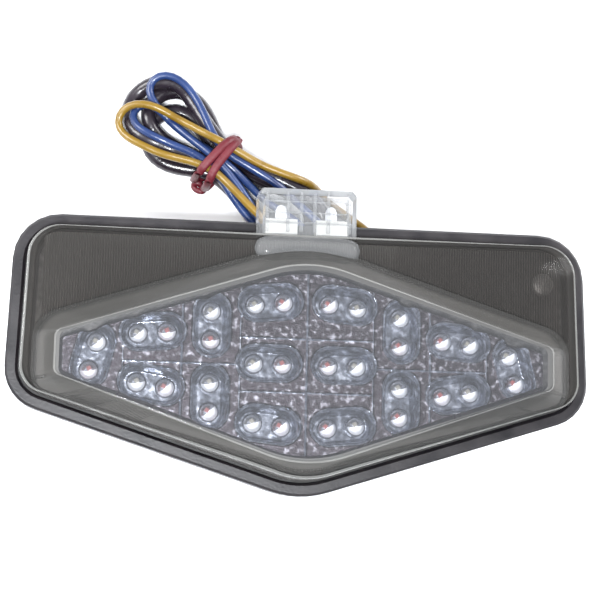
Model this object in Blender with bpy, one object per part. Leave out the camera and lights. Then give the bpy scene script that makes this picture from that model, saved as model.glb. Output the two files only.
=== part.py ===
"""LED tail light for a motorcycle, with turn signals and a number-plate window in one sealed lamp.

It lies on the bosses of its back, at z = 0, with the clear lens facing +Z. +X is the lamp's width
and +Y points to the number-plate window. The wiring leaves the housing's +Y wall, is folded into
a hank and is held by a rubber band. Sizes are in metres, written as millimetres times MM.
"""

import math

import bmesh
import bpy
from mathutils import Matrix, Vector

MM = 0.001
GAP = 0.3 * MM          # clearance between two pieces that touch on the real lamp
OVERLAP = 0.1 * MM      # how far two hollows run into each other where they join
WELD_DISTANCE = 0.01 * MM

# Outline of the housing's flange, seen from the lens side
FLANGE_HALF_WIDTH = 75.0 * MM       # at the lower side corners
FLANGE_TAPER = 1.4 * MM             # each side narrows by this towards the top corners
TOP_Y = 36.8 * MM
SIDE_CORNER_Y = -10.4 * MM
BOTTOM_Y = -34.2 * MM               # where the two lower edges would meet
FLANGE_RADII = (11.0 * MM, 12.0 * MM, 12.0 * MM, 11.0 * MM, 25.0 * MM)

# Outline of the lens's raised window, a flat diamond with cut tips
WINDOW_SIDE_MARGIN = 13.0 * MM      # in from the flange's outline to the window's
WINDOW_TOP_MARGIN = 11.5 * MM
WINDOW_BOTTOM_MARGIN = 7.4 * MM
WINDOW_TIP_Y = 5.2 * MM
WINDOW_TIP_RADIUS = 2.0 * MM
WINDOW_APEX_RADIUS = 30.0 * MM

LEAST_RADIUS = 1.0 * MM
ARC_STEPS = 6

# Heights above the surface that the lamp lies on
WINDOW_Z = 40.0 * MM                # the lens's raised window
WINDOW_RISE = 7.0 * MM              # from the lens's flat top corners up to the window
PANEL_RISE = 6.5 * MM               # from the flange up to the lens's flat top corners
BOSS_STANDOFF = 4.0 * MM            # the back wall stands this far off the surface

# Housing
HOUSING_WALL = 2.2 * MM
BODY_INSET = 7.6 * MM               # how far the flange overhangs the body
FLANGE_THICKNESS = 5.5 * MM
LIP_WIDTH = 3.2 * MM                # from the flange's edge to the groove for the lens
LENS_GROOVE_WIDTH = 3.4 * MM
LENS_GROOVE_DEPTH = 3.0 * MM
GROOVE_INNER_LIP = 1.6 * MM
LEDGE_THICKNESS = 1.2 * MM          # the ledge under the reflector, over the flange's underside
LIP_FILLET = 0.6 * MM

# Lens
LENS_WALL = 2.0 * MM
FLANK_WIDTH = 6.0 * MM              # the slope round the window, measured in plan
LENS_FILLET = 0.7 * MM
SEAL_THICKNESS = 1.0 * MM

# Number-plate window, a hollow tab on the lens's upper edge
TAB_HALF_WIDTH = 12.6 * MM
TAB_REACH = 8.0 * MM                # past the flange's edge
TAB_STEP = 0.3 * MM                 # the tab's face lies this far under the lens's corners
TAB_WALL = 1.8 * MM
TAB_RIB_HALF_WIDTH = 2.1 * MM
TAB_RIB_WALL = 0.9 * MM
PLATE_HOLDER_DEPTH = 4.0 * MM
PLATE_LED_RADIUS = 1.5 * MM
PLATE_LED_LENGTH = 3.6 * MM

# Lamps and the reflector that they stand in
LED_RADIUS = 2.5 * MM
LED_FLANGE = 0.4 * MM               # how far a lamp's foot stands out past its sides
LED_FLANGE_HEIGHT = 1.0 * MM
LED_HEIGHT = 8.6 * MM
LED_PITCH = 7.2 * MM                # between the two lamps of one pocket
LED_CLEARANCE = 1.2 * MM            # from the reflector's face down to a lamp's top
MIDDLE_MARGIN = 2.9 * MM            # from the lamp's middle plane to the nearest lamp's foot
POCKET_CLEARANCE = 0.6 * MM         # round a lamp on its pocket's floor
POCKET_DRAFT = 0.5 * MM             # how much wider a pocket is at its rim
POCKET_DEPTH = 6.0 * MM
REFLECTOR_WALL = 1.4 * MM
REFLECTOR_TO_LENS = 1.6 * MM
REFLECTOR_DROP = 5.0 * MM           # from the lens's flat corners down to the reflector's
REFLECTOR_EDGE = 0.6 * MM           # from the window's outline in to the raised block's top
REFLECTOR_FLARE = 2.0 * MM          # from the window's outline out to the raised block's foot

BOARD_THICKNESS = 1.6 * MM
BOARD_INSET = 1.5 * MM

# Screws, posts and mounting inserts
SCREW_HEAD_RADIUS = 2.3 * MM
SCREW_HEAD_HEIGHT = 1.7 * MM
SCREW_SHANK_RADIUS = 1.2 * MM
SCREW_LENGTH = 7.0 * MM
CORNER_HEAD_RADIUS = 2.9 * MM
CORNER_SCREW_X_MARGIN = 11.4 * MM   # in from the flange's top corner
CORNER_SCREW_Y_MARGIN = 13.6 * MM
CORNER_POST_RADIUS = 3.4 * MM
BOARD_POST_RADIUS = 2.7 * MM
BOARD_POST_MARGIN = 6.6 * MM        # in from the last column of pockets
INSERT_X = 32.0 * MM
INSERT_Y = 2.0 * MM
INSERT_RADIUS = 4.2 * MM
INSERT_BORE_RADIUS = 2.5 * MM       # an M6 thread's minor radius
INSERT_LENGTH = 11.0 * MM
INSERT_BOSS_RADIUS = 8.0 * MM
INSERT_FLOOR = 1.6 * MM             # plastic over the insert's blind end

# Wiring
LEAD_DIAMETER = 4.0 * MM
WIRE_DIAMETER = 2.1 * MM
GROMMET_X = 21.2 * MM
GROMMET_HALF_LENGTH = 7.0 * MM
GROMMET_HALF_HEIGHT = 3.8 * MM
GROMMET_FLANGE = 1.2 * MM
HANK_HEIGHT = 12.0 * MM
HANK_OUTER_END = Vector((-57.7 * MM, 40.3 * MM))    # from the grommet's middle
HANK_INNER_END = Vector((-20.8 * MM, 11.0 * MM))
HANK_OUTER_RADIUS = 12.5 * MM
HANK_INNER_RADIUS = 10.0 * MM
HANK_WAIST_HALF = 4.9 * MM
HANK_WAIST_SHARE = 0.42             # where the band sits, from the outer end to the inner one
BAND_THICKNESS = 2.0 * MM
BAND_WIDTH = 5.0 * MM
BAND_CLEARANCE = 1.0 * MM           # to the hank's waist, which widens along the band
CONNECTOR_END_X = -33.6 * MM        # its right end and lower side, from the grommet's middle
CONNECTOR_Y = 0.8 * MM
CONNECTOR_LENGTH = 16.6 * MM
CONNECTOR_WIDTH = 7.0 * MM
CONNECTOR_HEIGHT = 6.0 * MM
TERMINAL_MARGIN = 1.9 * MM          # in from the connector's lower side to the first terminal
TERMINAL_PITCH = 3.3 * MM
TERMINAL_RADIUS = 1.4 * MM
SLEEVE_LENGTH = 11.0 * MM
TERMINAL_LENGTH = 16.0 * MM

# Values that follow from the sizes above
FLANGE_HALF_TOP = FLANGE_HALF_WIDTH - FLANGE_TAPER
WINDOW_HALF_WIDTH = FLANGE_HALF_WIDTH - WINDOW_SIDE_MARGIN
WINDOW_TOP_Y = TOP_Y - WINDOW_TOP_MARGIN
WINDOW_BOTTOM_Y = BOTTOM_Y + WINDOW_BOTTOM_MARGIN
PANEL_Z = WINDOW_Z - WINDOW_RISE
FLANGE_TOP_Z = PANEL_Z - PANEL_RISE
LENS_INSET = LIP_WIDTH + (LENS_GROOVE_WIDTH - LENS_WALL) / 2
GROOVE_FLOOR_Z = FLANGE_TOP_Z - LENS_GROOVE_DEPTH
SEAL_TOP_Z = GROOVE_FLOOR_Z + GAP + SEAL_THICKNESS
LENS_FOOT_Z = SEAL_TOP_Z + GAP
INNER_LIP_INSET = LIP_WIDTH + LENS_GROOVE_WIDTH
BODY_INNER_INSET = BODY_INSET + HOUSING_WALL
LEDGE_Z = FLANGE_TOP_Z - FLANGE_THICKNESS + LEDGE_THICKNESS
FLOOR_Z = BOSS_STANDOFF + HOUSING_WALL
REFLECTOR_TOP_Z = WINDOW_Z - LENS_WALL - REFLECTOR_TO_LENS
REFLECTOR_PANEL_Z = PANEL_Z - REFLECTOR_DROP
POCKET_FLOOR_Z = REFLECTOR_TOP_Z - POCKET_DEPTH
POCKET_FLOOR_RADIUS = LED_RADIUS + POCKET_CLEARANCE
POCKET_RADIUS = POCKET_FLOOR_RADIUS + POCKET_DRAFT
LED_FLANGE_RADIUS = LED_RADIUS + LED_FLANGE
COLUMN_FIRST_X = LED_PITCH / 2 + LED_FLANGE_RADIUS + MIDDLE_MARGIN
COLUMN_LAST_X = WINDOW_HALF_WIDTH - LED_PITCH - POCKET_RADIUS / 2    # in from the tapering tip
BOARD_POST_X = COLUMN_LAST_X - BOARD_POST_MARGIN
LED_BASE_Z = REFLECTOR_TOP_Z - LED_CLEARANCE - LED_HEIGHT
BOARD_Z = LED_BASE_Z - GAP - BOARD_THICKNESS
TAB_END_Y = TOP_Y + TAB_REACH
TAB_Z = LENS_FOOT_Z
TAB_TOP_Z = PANEL_Z - TAB_STEP
CORNER_SCREW_X = FLANGE_HALF_TOP - CORNER_SCREW_X_MARGIN
CORNER_SCREW_Y = TOP_Y - CORNER_SCREW_Y_MARGIN
PANEL_UNDER_Z = REFLECTOR_PANEL_Z - REFLECTOR_WALL
GROMMET_Z = FLOOR_Z + GAP + GROMMET_FLANGE + GROMMET_HALF_HEIGHT
BODY_WALL_Y = TOP_Y - BODY_INSET


# ---------------------------------------------------------------- outlines


def offset_corners(corners, inset):
    """The corners of a convex, counter-clockwise outline whose sides all move inwards."""
    moved = []
    for index, corner in enumerate(corners):
        to_here = (corner - corners[index - 1]).normalized()
        onward = (corners[(index + 1) % len(corners)] - corner).normalized()
        first = Vector((-to_here.y, to_here.x))
        second = Vector((-onward.y, onward.x))
        moved.append(corner + (first + second) * inset / (1 + first.dot(second)))
    return moved


def rounded_outline(corners, radii, inset=0.0):
    """Points round a convex outline with an arc at each corner, moved inwards by inset."""
    moved = offset_corners(corners, inset)
    points = []
    for index, corner in enumerate(moved):
        to_last = (moved[index - 1] - corner).normalized()
        to_next = (moved[(index + 1) % len(moved)] - corner).normalized()
        half_angle = to_last.angle(to_next) / 2
        radius = max(radii[index] - inset, LEAST_RADIUS)
        centre = corner + (to_last + to_next).normalized() * radius / math.sin(half_angle)
        start = corner + to_last * radius / math.tan(half_angle) - centre
        for step in range(ARC_STEPS + 1):
            turn = Matrix.Rotation((math.pi - 2 * half_angle) * step / ARC_STEPS, 2)
            points.append(centre + turn @ start)
    return points


def flange_outline(inset=0.0):
    corners = [
        Vector((FLANGE_HALF_WIDTH, SIDE_CORNER_Y)),
        Vector((FLANGE_HALF_TOP, TOP_Y)),
        Vector((-FLANGE_HALF_TOP, TOP_Y)),
        Vector((-FLANGE_HALF_WIDTH, SIDE_CORNER_Y)),
        Vector((0.0, BOTTOM_Y)),
    ]
    return rounded_outline(corners, FLANGE_RADII, inset)


def window_outline(inset=0.0):
    corners = [
        Vector((WINDOW_HALF_WIDTH, -WINDOW_TIP_Y)),
        Vector((WINDOW_HALF_WIDTH, WINDOW_TIP_Y)),
        Vector((0.0, WINDOW_TOP_Y)),
        Vector((-WINDOW_HALF_WIDTH, WINDOW_TIP_Y)),
        Vector((-WINDOW_HALF_WIDTH, -WINDOW_TIP_Y)),
        Vector((0.0, WINDOW_BOTTOM_Y)),
    ]
    tip = WINDOW_TIP_RADIUS
    apex = WINDOW_APEX_RADIUS
    return rounded_outline(corners, (tip, tip, apex, tip, tip, apex), inset)


def box_outline(half_x, low_y, high_y, centre_x=0.0):
    left = centre_x - half_x
    right = centre_x + half_x
    corners = ((left, low_y), (right, low_y), (right, high_y), (left, high_y))
    return [Vector(corner) for corner in corners]


def circle_outline(radius, centre=(0.0, 0.0), sides=16):
    angles = [2 * math.pi * side / sides for side in range(sides)]
    return [Vector(centre) + radius * Vector((math.cos(a), math.sin(a))) for a in angles]


def stadium_outline(centre, angle, half_pitch, radius, steps=7):
    """Two half circles whose centres lie half_pitch to each side of centre, along angle."""
    points = []
    for end in (1, -1):
        middle = Vector((end * half_pitch, 0.0))
        for step in range(steps + 1):
            turn = -math.pi / 2 + math.pi * step / steps
            points.append(middle + end * radius * Vector((math.cos(turn), math.sin(turn))))
    rotation = Matrix.Rotation(angle, 2)
    return [Vector(centre) + rotation @ point for point in points]


# ---------------------------------------------------------------- solids


def loft(mesh, rings):
    """Adds one closed body through rings of 3-D points, with a cap on the first and the last."""
    loops = [[mesh.verts.new(point) for point in ring] for ring in rings]
    count = len(loops[0])
    for lower, upper in zip(loops, loops[1:]):
        for index in range(count):
            after = (index + 1) % count
            mesh.faces.new((lower[index], lower[after], upper[after], upper[index]))
    mesh.faces.new(list(reversed(loops[0])))
    mesh.faces.new(loops[-1])


def level(outline, height):
    return [Vector((point.x, point.y, height)) for point in outline]


def prism(mesh, outline, low, high):
    loft(mesh, [level(outline, low), level(outline, high)])


def turned(mesh, profile, sides, place):
    """Adds a turned body: profile is (radius, height) from its base up, and place moves it."""
    loft(mesh, [
        [place @ point for point in level(circle_outline(radius, sides=sides), height)]
        for radius, height in profile
    ])


def paint(name, colour, roughness, metallic=0.0, alpha=1.0):
    material = bpy.data.materials.get(name)
    if material:
        return material
    material = bpy.data.materials.new(name)
    material.use_nodes = True
    shader = material.node_tree.nodes["Principled BSDF"]
    shader.inputs["Base Color"].default_value = (*colour, 1.0)
    shader.inputs["Roughness"].default_value = roughness
    shader.inputs["Metallic"].default_value = metallic
    shader.inputs["Alpha"].default_value = alpha
    material.diffuse_color = (*colour, alpha)
    return material


def add_object(name, mesh, material=None, smooth=None, parent=None):
    """Makes an object on the lamp's empty from a bmesh; with no material it is a cutter."""
    data = bpy.data.meshes.new(name)
    mesh.to_mesh(data)
    mesh.free()
    piece = bpy.data.objects.new(name, data)
    bpy.context.scene.collection.objects.link(piece)
    piece.parent = parent or LAMP
    if material is None:
        piece.hide_render = True
        piece.display_type = "WIRE"
        return piece
    data.materials.append(material)
    if smooth is not None:
        data.shade_smooth()
        data.set_sharp_from_angle(angle=math.radians(smooth))
    return piece


def combine(piece, other, operation, overlapping=False):
    modifier = piece.modifiers.new(f"{operation.lower()}_{other.name}", "BOOLEAN")
    modifier.operation = operation
    modifier.solver = "EXACT"
    modifier.use_self = overlapping
    modifier.object = other


# ---------------------------------------------------------------- materials


def black_plastic():
    return paint("black_plastic", (0.012, 0.010, 0.013), 0.28)


def clear_plastic():
    return paint("clear_plastic", (0.86, 0.88, 0.88), 0.05, alpha=0.3)


def chrome_plating():
    return paint("chrome_plating", (0.55, 0.54, 0.56), 0.12, metallic=1.0)


def zinc_steel():
    return paint("zinc_steel", (0.50, 0.50, 0.49), 0.35, metallic=1.0)


def brass():
    return paint("brass", (0.60, 0.42, 0.17), 0.35, metallic=1.0)


def black_rubber():
    return paint("black_rubber", (0.015, 0.015, 0.016), 0.7)


def lead_sleeve():
    return paint("lead_sleeve", (0.020, 0.016, 0.022), 0.35)


def blue_insulation():
    return paint("blue_insulation", (0.028, 0.060, 0.215), 0.35)


def yellow_insulation():
    return paint("yellow_insulation", (0.390, 0.230, 0.026), 0.35)


# ---------------------------------------------------------------- housing


def screw_places():
    """The pilot holes: (x, y, top of the post) for the board's screws and the corner ones."""
    board_top = BOARD_Z - GAP
    corner_top = PANEL_UNDER_Z - GAP
    places = [(x, 0.0, board_top) for x in (-BOARD_POST_X, 0.0, BOARD_POST_X)]
    places += [(side * CORNER_SCREW_X, CORNER_SCREW_Y, corner_top) for side in (-1, 1)]
    return places


def housing_shell():
    """The tub, its flange and the groove for the lens, as one run of outlines."""
    under = FLANGE_TOP_Z - FLANGE_THICKNESS
    profile = (
        (BODY_INSET + LIP_FILLET, BOSS_STANDOFF),
        (BODY_INSET, BOSS_STANDOFF + LIP_FILLET),
        (BODY_INSET, under),
        (LIP_FILLET, under),
        (0.0, under + LIP_FILLET),
        (0.0, FLANGE_TOP_Z - LIP_FILLET),
        (LIP_FILLET, FLANGE_TOP_Z),
        (LIP_WIDTH - LIP_FILLET, FLANGE_TOP_Z),
        (LIP_WIDTH, FLANGE_TOP_Z - LIP_FILLET),
        (LIP_WIDTH, GROOVE_FLOOR_Z),
        (INNER_LIP_INSET, GROOVE_FLOOR_Z),
        (INNER_LIP_INSET, LENS_FOOT_Z),
        (INNER_LIP_INSET + GROOVE_INNER_LIP, LENS_FOOT_Z),
        (INNER_LIP_INSET + GROOVE_INNER_LIP, LEDGE_Z),
        (BODY_INNER_INSET, LEDGE_Z),
        (BODY_INNER_INSET, FLOOR_Z),
    )
    mesh = bmesh.new()
    loft(mesh, [level(flange_outline(inset), height) for inset, height in profile])
    return add_object("rear_housing", mesh, black_plastic(), smooth=35)


def housing_posts():
    mesh = bmesh.new()
    overlap = HOUSING_WALL / 2
    for side in (-1, 1):
        outline = circle_outline(INSERT_BOSS_RADIUS, (side * INSERT_X, INSERT_Y), 24)
        prism(mesh, outline, 0.0, GAP + INSERT_LENGTH + GAP + INSERT_FLOOR)
    for x, y, top in screw_places():
        radius = CORNER_POST_RADIUS if y else BOARD_POST_RADIUS
        prism(mesh, circle_outline(radius, (x, y)), FLOOR_Z - overlap, top)
    return add_object("housing_posts", mesh)


def grommet_stadium(grow):
    half_pitch = GROMMET_HALF_LENGTH - GROMMET_HALF_HEIGHT
    return stadium_outline((GROMMET_X, GROMMET_Z), 0.0, half_pitch, GROMMET_HALF_HEIGHT + grow)


def upright(outline, y):
    """An outline in X and Z, at one Y, turned so that a loft towards +Y faces outwards."""
    return [Vector((point.x, y, point.y)) for point in reversed(outline)]


def housing_holes():
    mesh = bmesh.new()
    for side in (-1, 1):
        outline = circle_outline(INSERT_RADIUS + GAP, (side * INSERT_X, INSERT_Y))
        prism(mesh, outline, -1 * MM, GAP + INSERT_LENGTH + GAP)
    for x, y, top in screw_places():
        outline = circle_outline(SCREW_SHANK_RADIUS + GAP, (x, y), 12)
        prism(mesh, outline, top - SCREW_LENGTH, top + 1 * MM)
    loft(mesh, [
        upright(grommet_stadium(0.0), BODY_WALL_Y - HOUSING_WALL - 1 * MM),
        upright(grommet_stadium(0.0), BODY_WALL_Y + 1 * MM),
    ])
    notch = box_outline(TAB_HALF_WIDTH + GAP, TOP_Y - LIP_WIDTH - GAP, TOP_Y + 1 * MM)
    prism(mesh, notch, TAB_Z - GAP, FLANGE_TOP_Z + 1 * MM)
    return add_object("housing_holes", mesh)


def make_housing():
    housing = housing_shell()
    combine(housing, housing_posts(), "UNION")
    combine(housing, housing_holes(), "DIFFERENCE")


def make_inserts():
    for side, word in ((-1, "left"), (1, "right")):
        place = Matrix.Translation((side * INSERT_X, INSERT_Y, GAP))
        rings = []
        bore = INSERT_BORE_RADIUS
        for radius, height in (
            (bore, 0.0), (INSERT_RADIUS, 0.0), (INSERT_RADIUS, INSERT_LENGTH), (bore, INSERT_LENGTH)
        ):
            ring = level(circle_outline(radius, sides=24), height)
            rings.append([place @ point for point in ring])
        mesh = bmesh.new()
        hoop(mesh, rings)
        add_object(f"mounting_insert_{word}", mesh, brass(), smooth=35)


def hoop(mesh, rings):
    """Adds a closed ring-shaped body through rings, the last one joined to the first."""
    loops = [[mesh.verts.new(point) for point in ring] for ring in rings]
    count = len(loops[0])
    for number, lower in enumerate(loops):
        upper = loops[(number + 1) % len(loops)]
        for index in range(count):
            after = (index + 1) % count
            mesh.faces.new((lower[index], lower[after], upper[after], upper[index]))


def make_seal():
    """The bead under the lens's foot, in the housing's groove."""
    outer = LIP_WIDTH + GAP
    inner = INNER_LIP_INSET - GAP
    low = GROOVE_FLOOR_Z + GAP
    mesh = bmesh.new()
    hoop(mesh, [
        level(flange_outline(inner), low),
        level(flange_outline(outer), low),
        level(flange_outline(outer), SEAL_TOP_Z),
        level(flange_outline(inner), SEAL_TOP_Z),
    ])
    add_object("lens_seal", mesh, black_rubber())


# ---------------------------------------------------------------- lens


def lens_shape(name, shrink, material=None):
    """The lens's outer form, or the form of the space inside it when shrink is the wall."""
    inset = LENS_INSET + shrink
    fillet = 0.0 if shrink else LENS_FILLET
    foot = LENS_FOOT_Z - shrink
    top = WINDOW_Z - shrink
    panel = PANEL_Z - shrink
    slope = FLANK_WIDTH / (WINDOW_Z - PANEL_Z)
    sunk = 2 * MM
    mesh = bmesh.new()
    rings = [
        level(window_outline(0.7 * shrink - FLANK_WIDTH - sunk * slope), panel - sunk),
        level(window_outline(0.7 * shrink), top - fillet),
    ]
    if fillet:
        rings.append(level(window_outline(fillet), top))
    loft(mesh, rings)
    shape = add_object(name, mesh, material, smooth=30)

    mesh = bmesh.new()
    prism(mesh, flange_outline(inset), foot, top + 5 * MM)
    combine(shape, add_object(f"{name}_sides", mesh), "INTERSECT")

    mesh = bmesh.new()
    rings = [level(flange_outline(inset), foot), level(flange_outline(inset), panel - fillet)]
    if fillet:
        rings.append(level(flange_outline(inset + fillet), panel))
    loft(mesh, rings)
    combine(shape, add_object(f"{name}_base", mesh), "UNION")
    return shape


def make_lens():
    lens = lens_shape("outer_lens", 0.0, clear_plastic())

    wall_y = TOP_Y - LENS_INSET
    mesh = bmesh.new()
    prism(mesh, box_outline(TAB_HALF_WIDTH, wall_y - LENS_WALL / 2, TAB_END_Y), TAB_Z, TAB_TOP_Z)
    combine(lens, add_object("tab_block", mesh), "UNION")
    combine(lens, lens_shape("lens_hollow", LENS_WALL), "DIFFERENCE")

    mesh = bmesh.new()
    inside = box_outline(TAB_HALF_WIDTH - TAB_WALL, wall_y - 2 * LENS_WALL, TAB_END_Y - TAB_WALL)
    prism(mesh, inside, TAB_Z + TAB_WALL, TAB_TOP_Z - TAB_WALL)
    combine(lens, add_object("tab_hollow", mesh), "DIFFERENCE")

    mesh = bmesh.new()
    for side in (-1, 1):
        middle = side * (TAB_RIB_HALF_WIDTH - TAB_RIB_WALL / 2)
        rib = box_outline(TAB_RIB_WALL / 2, wall_y - GAP, TAB_END_Y - TAB_WALL / 2, middle)
        prism(mesh, rib, TAB_Z + TAB_WALL / 2, TAB_TOP_Z - TAB_WALL / 2)
    combine(lens, add_object("tab_ribs", mesh), "UNION")
    weld = lens.modifiers.new("weld", "WELD")
    weld.merge_threshold = WELD_DISTANCE


def make_plate_lamps():
    """The two white lamps that shine out through the tab, and their white holders."""
    white = paint("white_plastic", (0.85, 0.85, 0.82), 0.4)
    lamp = paint("clear_epoxy", (0.80, 0.82, 0.84), 0.05, alpha=0.5)
    inner_x = TAB_RIB_HALF_WIDTH + GAP
    outer_x = TAB_HALF_WIDTH - TAB_WALL - GAP
    middle_x = (inner_x + outer_x) / 2
    back_y = TOP_Y - LENS_INSET + GAP
    front_y = back_y + PLATE_HOLDER_DEPTH
    low = TAB_Z + TAB_WALL + GAP
    high = TAB_TOP_Z - TAB_WALL - GAP
    for side, word in ((-1, "left"), (1, "right")):
        mesh = bmesh.new()
        prism(mesh, box_outline((outer_x - inner_x) / 2, back_y, front_y, side * middle_x), low, high)
        add_object(f"plate_lamp_holder_{word}", mesh, white)
        aim = Matrix.Translation((side * middle_x, front_y + GAP, (low + high) / 2))
        aim @= Matrix.Rotation(-math.pi / 2, 4, "X")
        radius = PLATE_LED_RADIUS
        body = PLATE_LED_LENGTH - radius
        mesh = bmesh.new()
        turned(mesh, (
            (radius, 0.0), (radius, body), (0.7 * radius, body + 0.7 * radius),
            (0.2 * radius, PLATE_LED_LENGTH),
        ), 12, aim)
        add_object(f"plate_led_{word}", mesh, lamp, smooth=50)


# ---------------------------------------------------------------- reflector and lamps


def window_edge_y(x, rounded_corner_y):
    """Where the window's straight edge towards one apex lies, at x from the middle."""
    sign = math.copysign(1.0, rounded_corner_y)
    rise = (abs(rounded_corner_y) - WINDOW_TIP_Y) / WINDOW_HALF_WIDTH
    return sign * (WINDOW_TIP_Y + rise * (WINDOW_HALF_WIDTH - abs(x)))


def pocket_places():
    """(x, y, angle) of each pocket: columns of 3, 2, 2 and 1, spread over the window's height."""
    pitch = (COLUMN_LAST_X - COLUMN_FIRST_X) / 3
    tilt = math.radians
    columns = (
        ((0.0, tilt(-6)), (0.0, 0.0), (0.0, tilt(6))),
        ((tilt(90), 0.0), (tilt(90), 0.0)),
        ((0.0, tilt(-5)), (0.0, tilt(9))),
        ((tilt(90), tilt(14)),),
    )
    places = []
    for number, column in enumerate(columns):
        x = COLUMN_FIRST_X + number * pitch
        top = window_edge_y(x, WINDOW_TOP_Y)
        step = (top - window_edge_y(x, WINDOW_BOTTOM_Y)) / len(column)
        for row, (along, lean) in enumerate(column):
            y = top - (row + 0.5) * step
            places.append((x, y, along + lean))
            places.append((-x, y, -(along + lean)))
    return places


def led_places():
    """(x, y, colour) of each lamp: red inside or below, amber outside or above in its pocket."""
    lamps = []
    for x, y, angle in pocket_places():
        reach = Vector((math.cos(angle), math.sin(angle))) * LED_PITCH / 2
        ends = [Vector((x, y)) + reach, Vector((x, y)) - reach]
        if abs(math.cos(angle)) > abs(math.sin(angle)):
            ends.sort(key=lambda end: abs(end.x))
        else:
            ends.sort(key=lambda end: end.y)
        lamps.append((*ends[0], "red"))
        lamps.append((*ends[1], "amber"))
    return lamps


def reflector_shape(name, shrink, material=None):
    """The reflector's outer form, or the hollow under it when shrink is its wall."""
    edge = INNER_LIP_INSET + GROOVE_INNER_LIP + GAP + shrink
    foot = LEDGE_Z + GAP - shrink
    panel = REFLECTOR_PANEL_Z - shrink
    top = REFLECTOR_TOP_Z - shrink
    block_foot = PANEL_UNDER_Z - (OVERLAP if shrink else REFLECTOR_WALL)
    mesh = bmesh.new()
    prism(mesh, flange_outline(edge), foot, panel)
    shape = add_object(name, mesh, material, smooth=30)
    mesh = bmesh.new()
    loft(mesh, [
        level(window_outline(shrink - REFLECTOR_FLARE), block_foot),
        level(window_outline(REFLECTOR_EDGE + shrink), top),
    ])
    block = add_object(f"{name}_block", mesh)
    mesh = bmesh.new()
    inside_lens = flange_outline(LENS_INSET + LENS_WALL + GAP + shrink)
    prism(mesh, inside_lens, block_foot - 1 * MM, top + 1 * MM)
    combine(block, add_object(f"{name}_sides", mesh), "INTERSECT")
    combine(shape, block, "UNION")
    return shape


def pocket_bodies(name, grow, floor_z, top_z):
    mesh = bmesh.new()
    slope = (POCKET_RADIUS - POCKET_FLOOR_RADIUS) / POCKET_DEPTH
    for x, y, angle in pocket_places():
        rings = []
        for height in (floor_z, top_z):
            radius = POCKET_FLOOR_RADIUS + (height - POCKET_FLOOR_Z) * slope + grow
            rings.append(level(stadium_outline((x, y), angle, LED_PITCH / 2, radius), height))
        loft(mesh, rings)
    return add_object(name, mesh)


def make_reflector():
    reflector = reflector_shape("reflector", 0.0, chrome_plating())
    combine(reflector, reflector_shape("reflector_hollow", REFLECTOR_WALL), "DIFFERENCE")
    cups = pocket_bodies(
        "pocket_cups", REFLECTOR_WALL / 2, POCKET_FLOOR_Z - REFLECTOR_WALL,
        REFLECTOR_TOP_Z - REFLECTOR_WALL / 2,
    )
    combine(reflector, cups, "UNION", overlapping=True)
    pockets = pocket_bodies("pocket_cuts", 0.0, POCKET_FLOOR_Z, REFLECTOR_TOP_Z + 1 * MM)
    combine(reflector, pockets, "DIFFERENCE", overlapping=True)

    mesh = bmesh.new()
    for x, y, _colour in led_places():
        hole = circle_outline(LED_RADIUS + GAP, (x, y), 12)
        prism(mesh, hole, POCKET_FLOOR_Z - 2 * REFLECTOR_WALL, POCKET_FLOOR_Z + 1 * MM)
    for side in (-1, 1):
        hole = circle_outline(SCREW_SHANK_RADIUS + GAP, (side * CORNER_SCREW_X, CORNER_SCREW_Y), 12)
        prism(mesh, hole, PANEL_UNDER_Z - 1 * MM, REFLECTOR_PANEL_Z + 1 * MM)
    combine(reflector, add_object("reflector_holes", mesh), "DIFFERENCE")

    mesh = bmesh.new()
    for side in (-1, 1):
        post = circle_outline(CORNER_POST_RADIUS + GAP, (side * CORNER_SCREW_X, CORNER_SCREW_Y))
        prism(mesh, post, LEDGE_Z - 1 * MM, PANEL_UNDER_Z + OVERLAP)
    combine(reflector, add_object("post_clearances", mesh), "DIFFERENCE")


def make_board():
    green = paint("circuit_board", (0.03, 0.16, 0.07), 0.45)
    mesh = bmesh.new()
    prism(mesh, window_outline(BOARD_INSET), BOARD_Z, BOARD_Z + BOARD_THICKNESS)
    board = add_object("led_board", mesh, green)
    mesh = bmesh.new()
    inside_skirt = flange_outline(INNER_LIP_INSET + GROOVE_INNER_LIP + REFLECTOR_WALL + 2 * GAP)
    prism(mesh, inside_skirt, BOARD_Z - 1 * MM, BOARD_Z + BOARD_THICKNESS + 1 * MM)
    combine(board, add_object("board_limits", mesh), "INTERSECT")
    mesh = bmesh.new()
    for x in (-BOARD_POST_X, 0.0, BOARD_POST_X):
        hole = circle_outline(SCREW_SHANK_RADIUS + GAP, (x, 0.0), 12)
        prism(mesh, hole, BOARD_Z - 1 * MM, BOARD_Z + BOARD_THICKNESS + 1 * MM)
    combine(board, add_object("board_holes", mesh), "DIFFERENCE")


def make_leds():
    epoxy = {
        "red": paint("red_chip_epoxy", (0.80, 0.62, 0.60), 0.05, alpha=0.5),
        "amber": paint("amber_chip_epoxy", (0.82, 0.78, 0.70), 0.05, alpha=0.5),
    }
    shoulder = LED_HEIGHT - LED_RADIUS
    profile = [
        (LED_FLANGE_RADIUS, 0.0),
        (LED_FLANGE_RADIUS, LED_FLANGE_HEIGHT),
        (LED_RADIUS, LED_FLANGE_HEIGHT),
    ]
    for degrees in (0, 30, 60, 82):
        angle = math.radians(degrees)
        profile.append((LED_RADIUS * math.cos(angle), shoulder + LED_RADIUS * math.sin(angle)))
    for number, (x, y, colour) in enumerate(led_places(), start=1):
        mesh = bmesh.new()
        turned(mesh, profile, 10, Matrix.Translation((x, y, LED_BASE_Z)))
        add_object(f"led_{number:02d}_{colour}", mesh, epoxy[colour], smooth=50)


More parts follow.
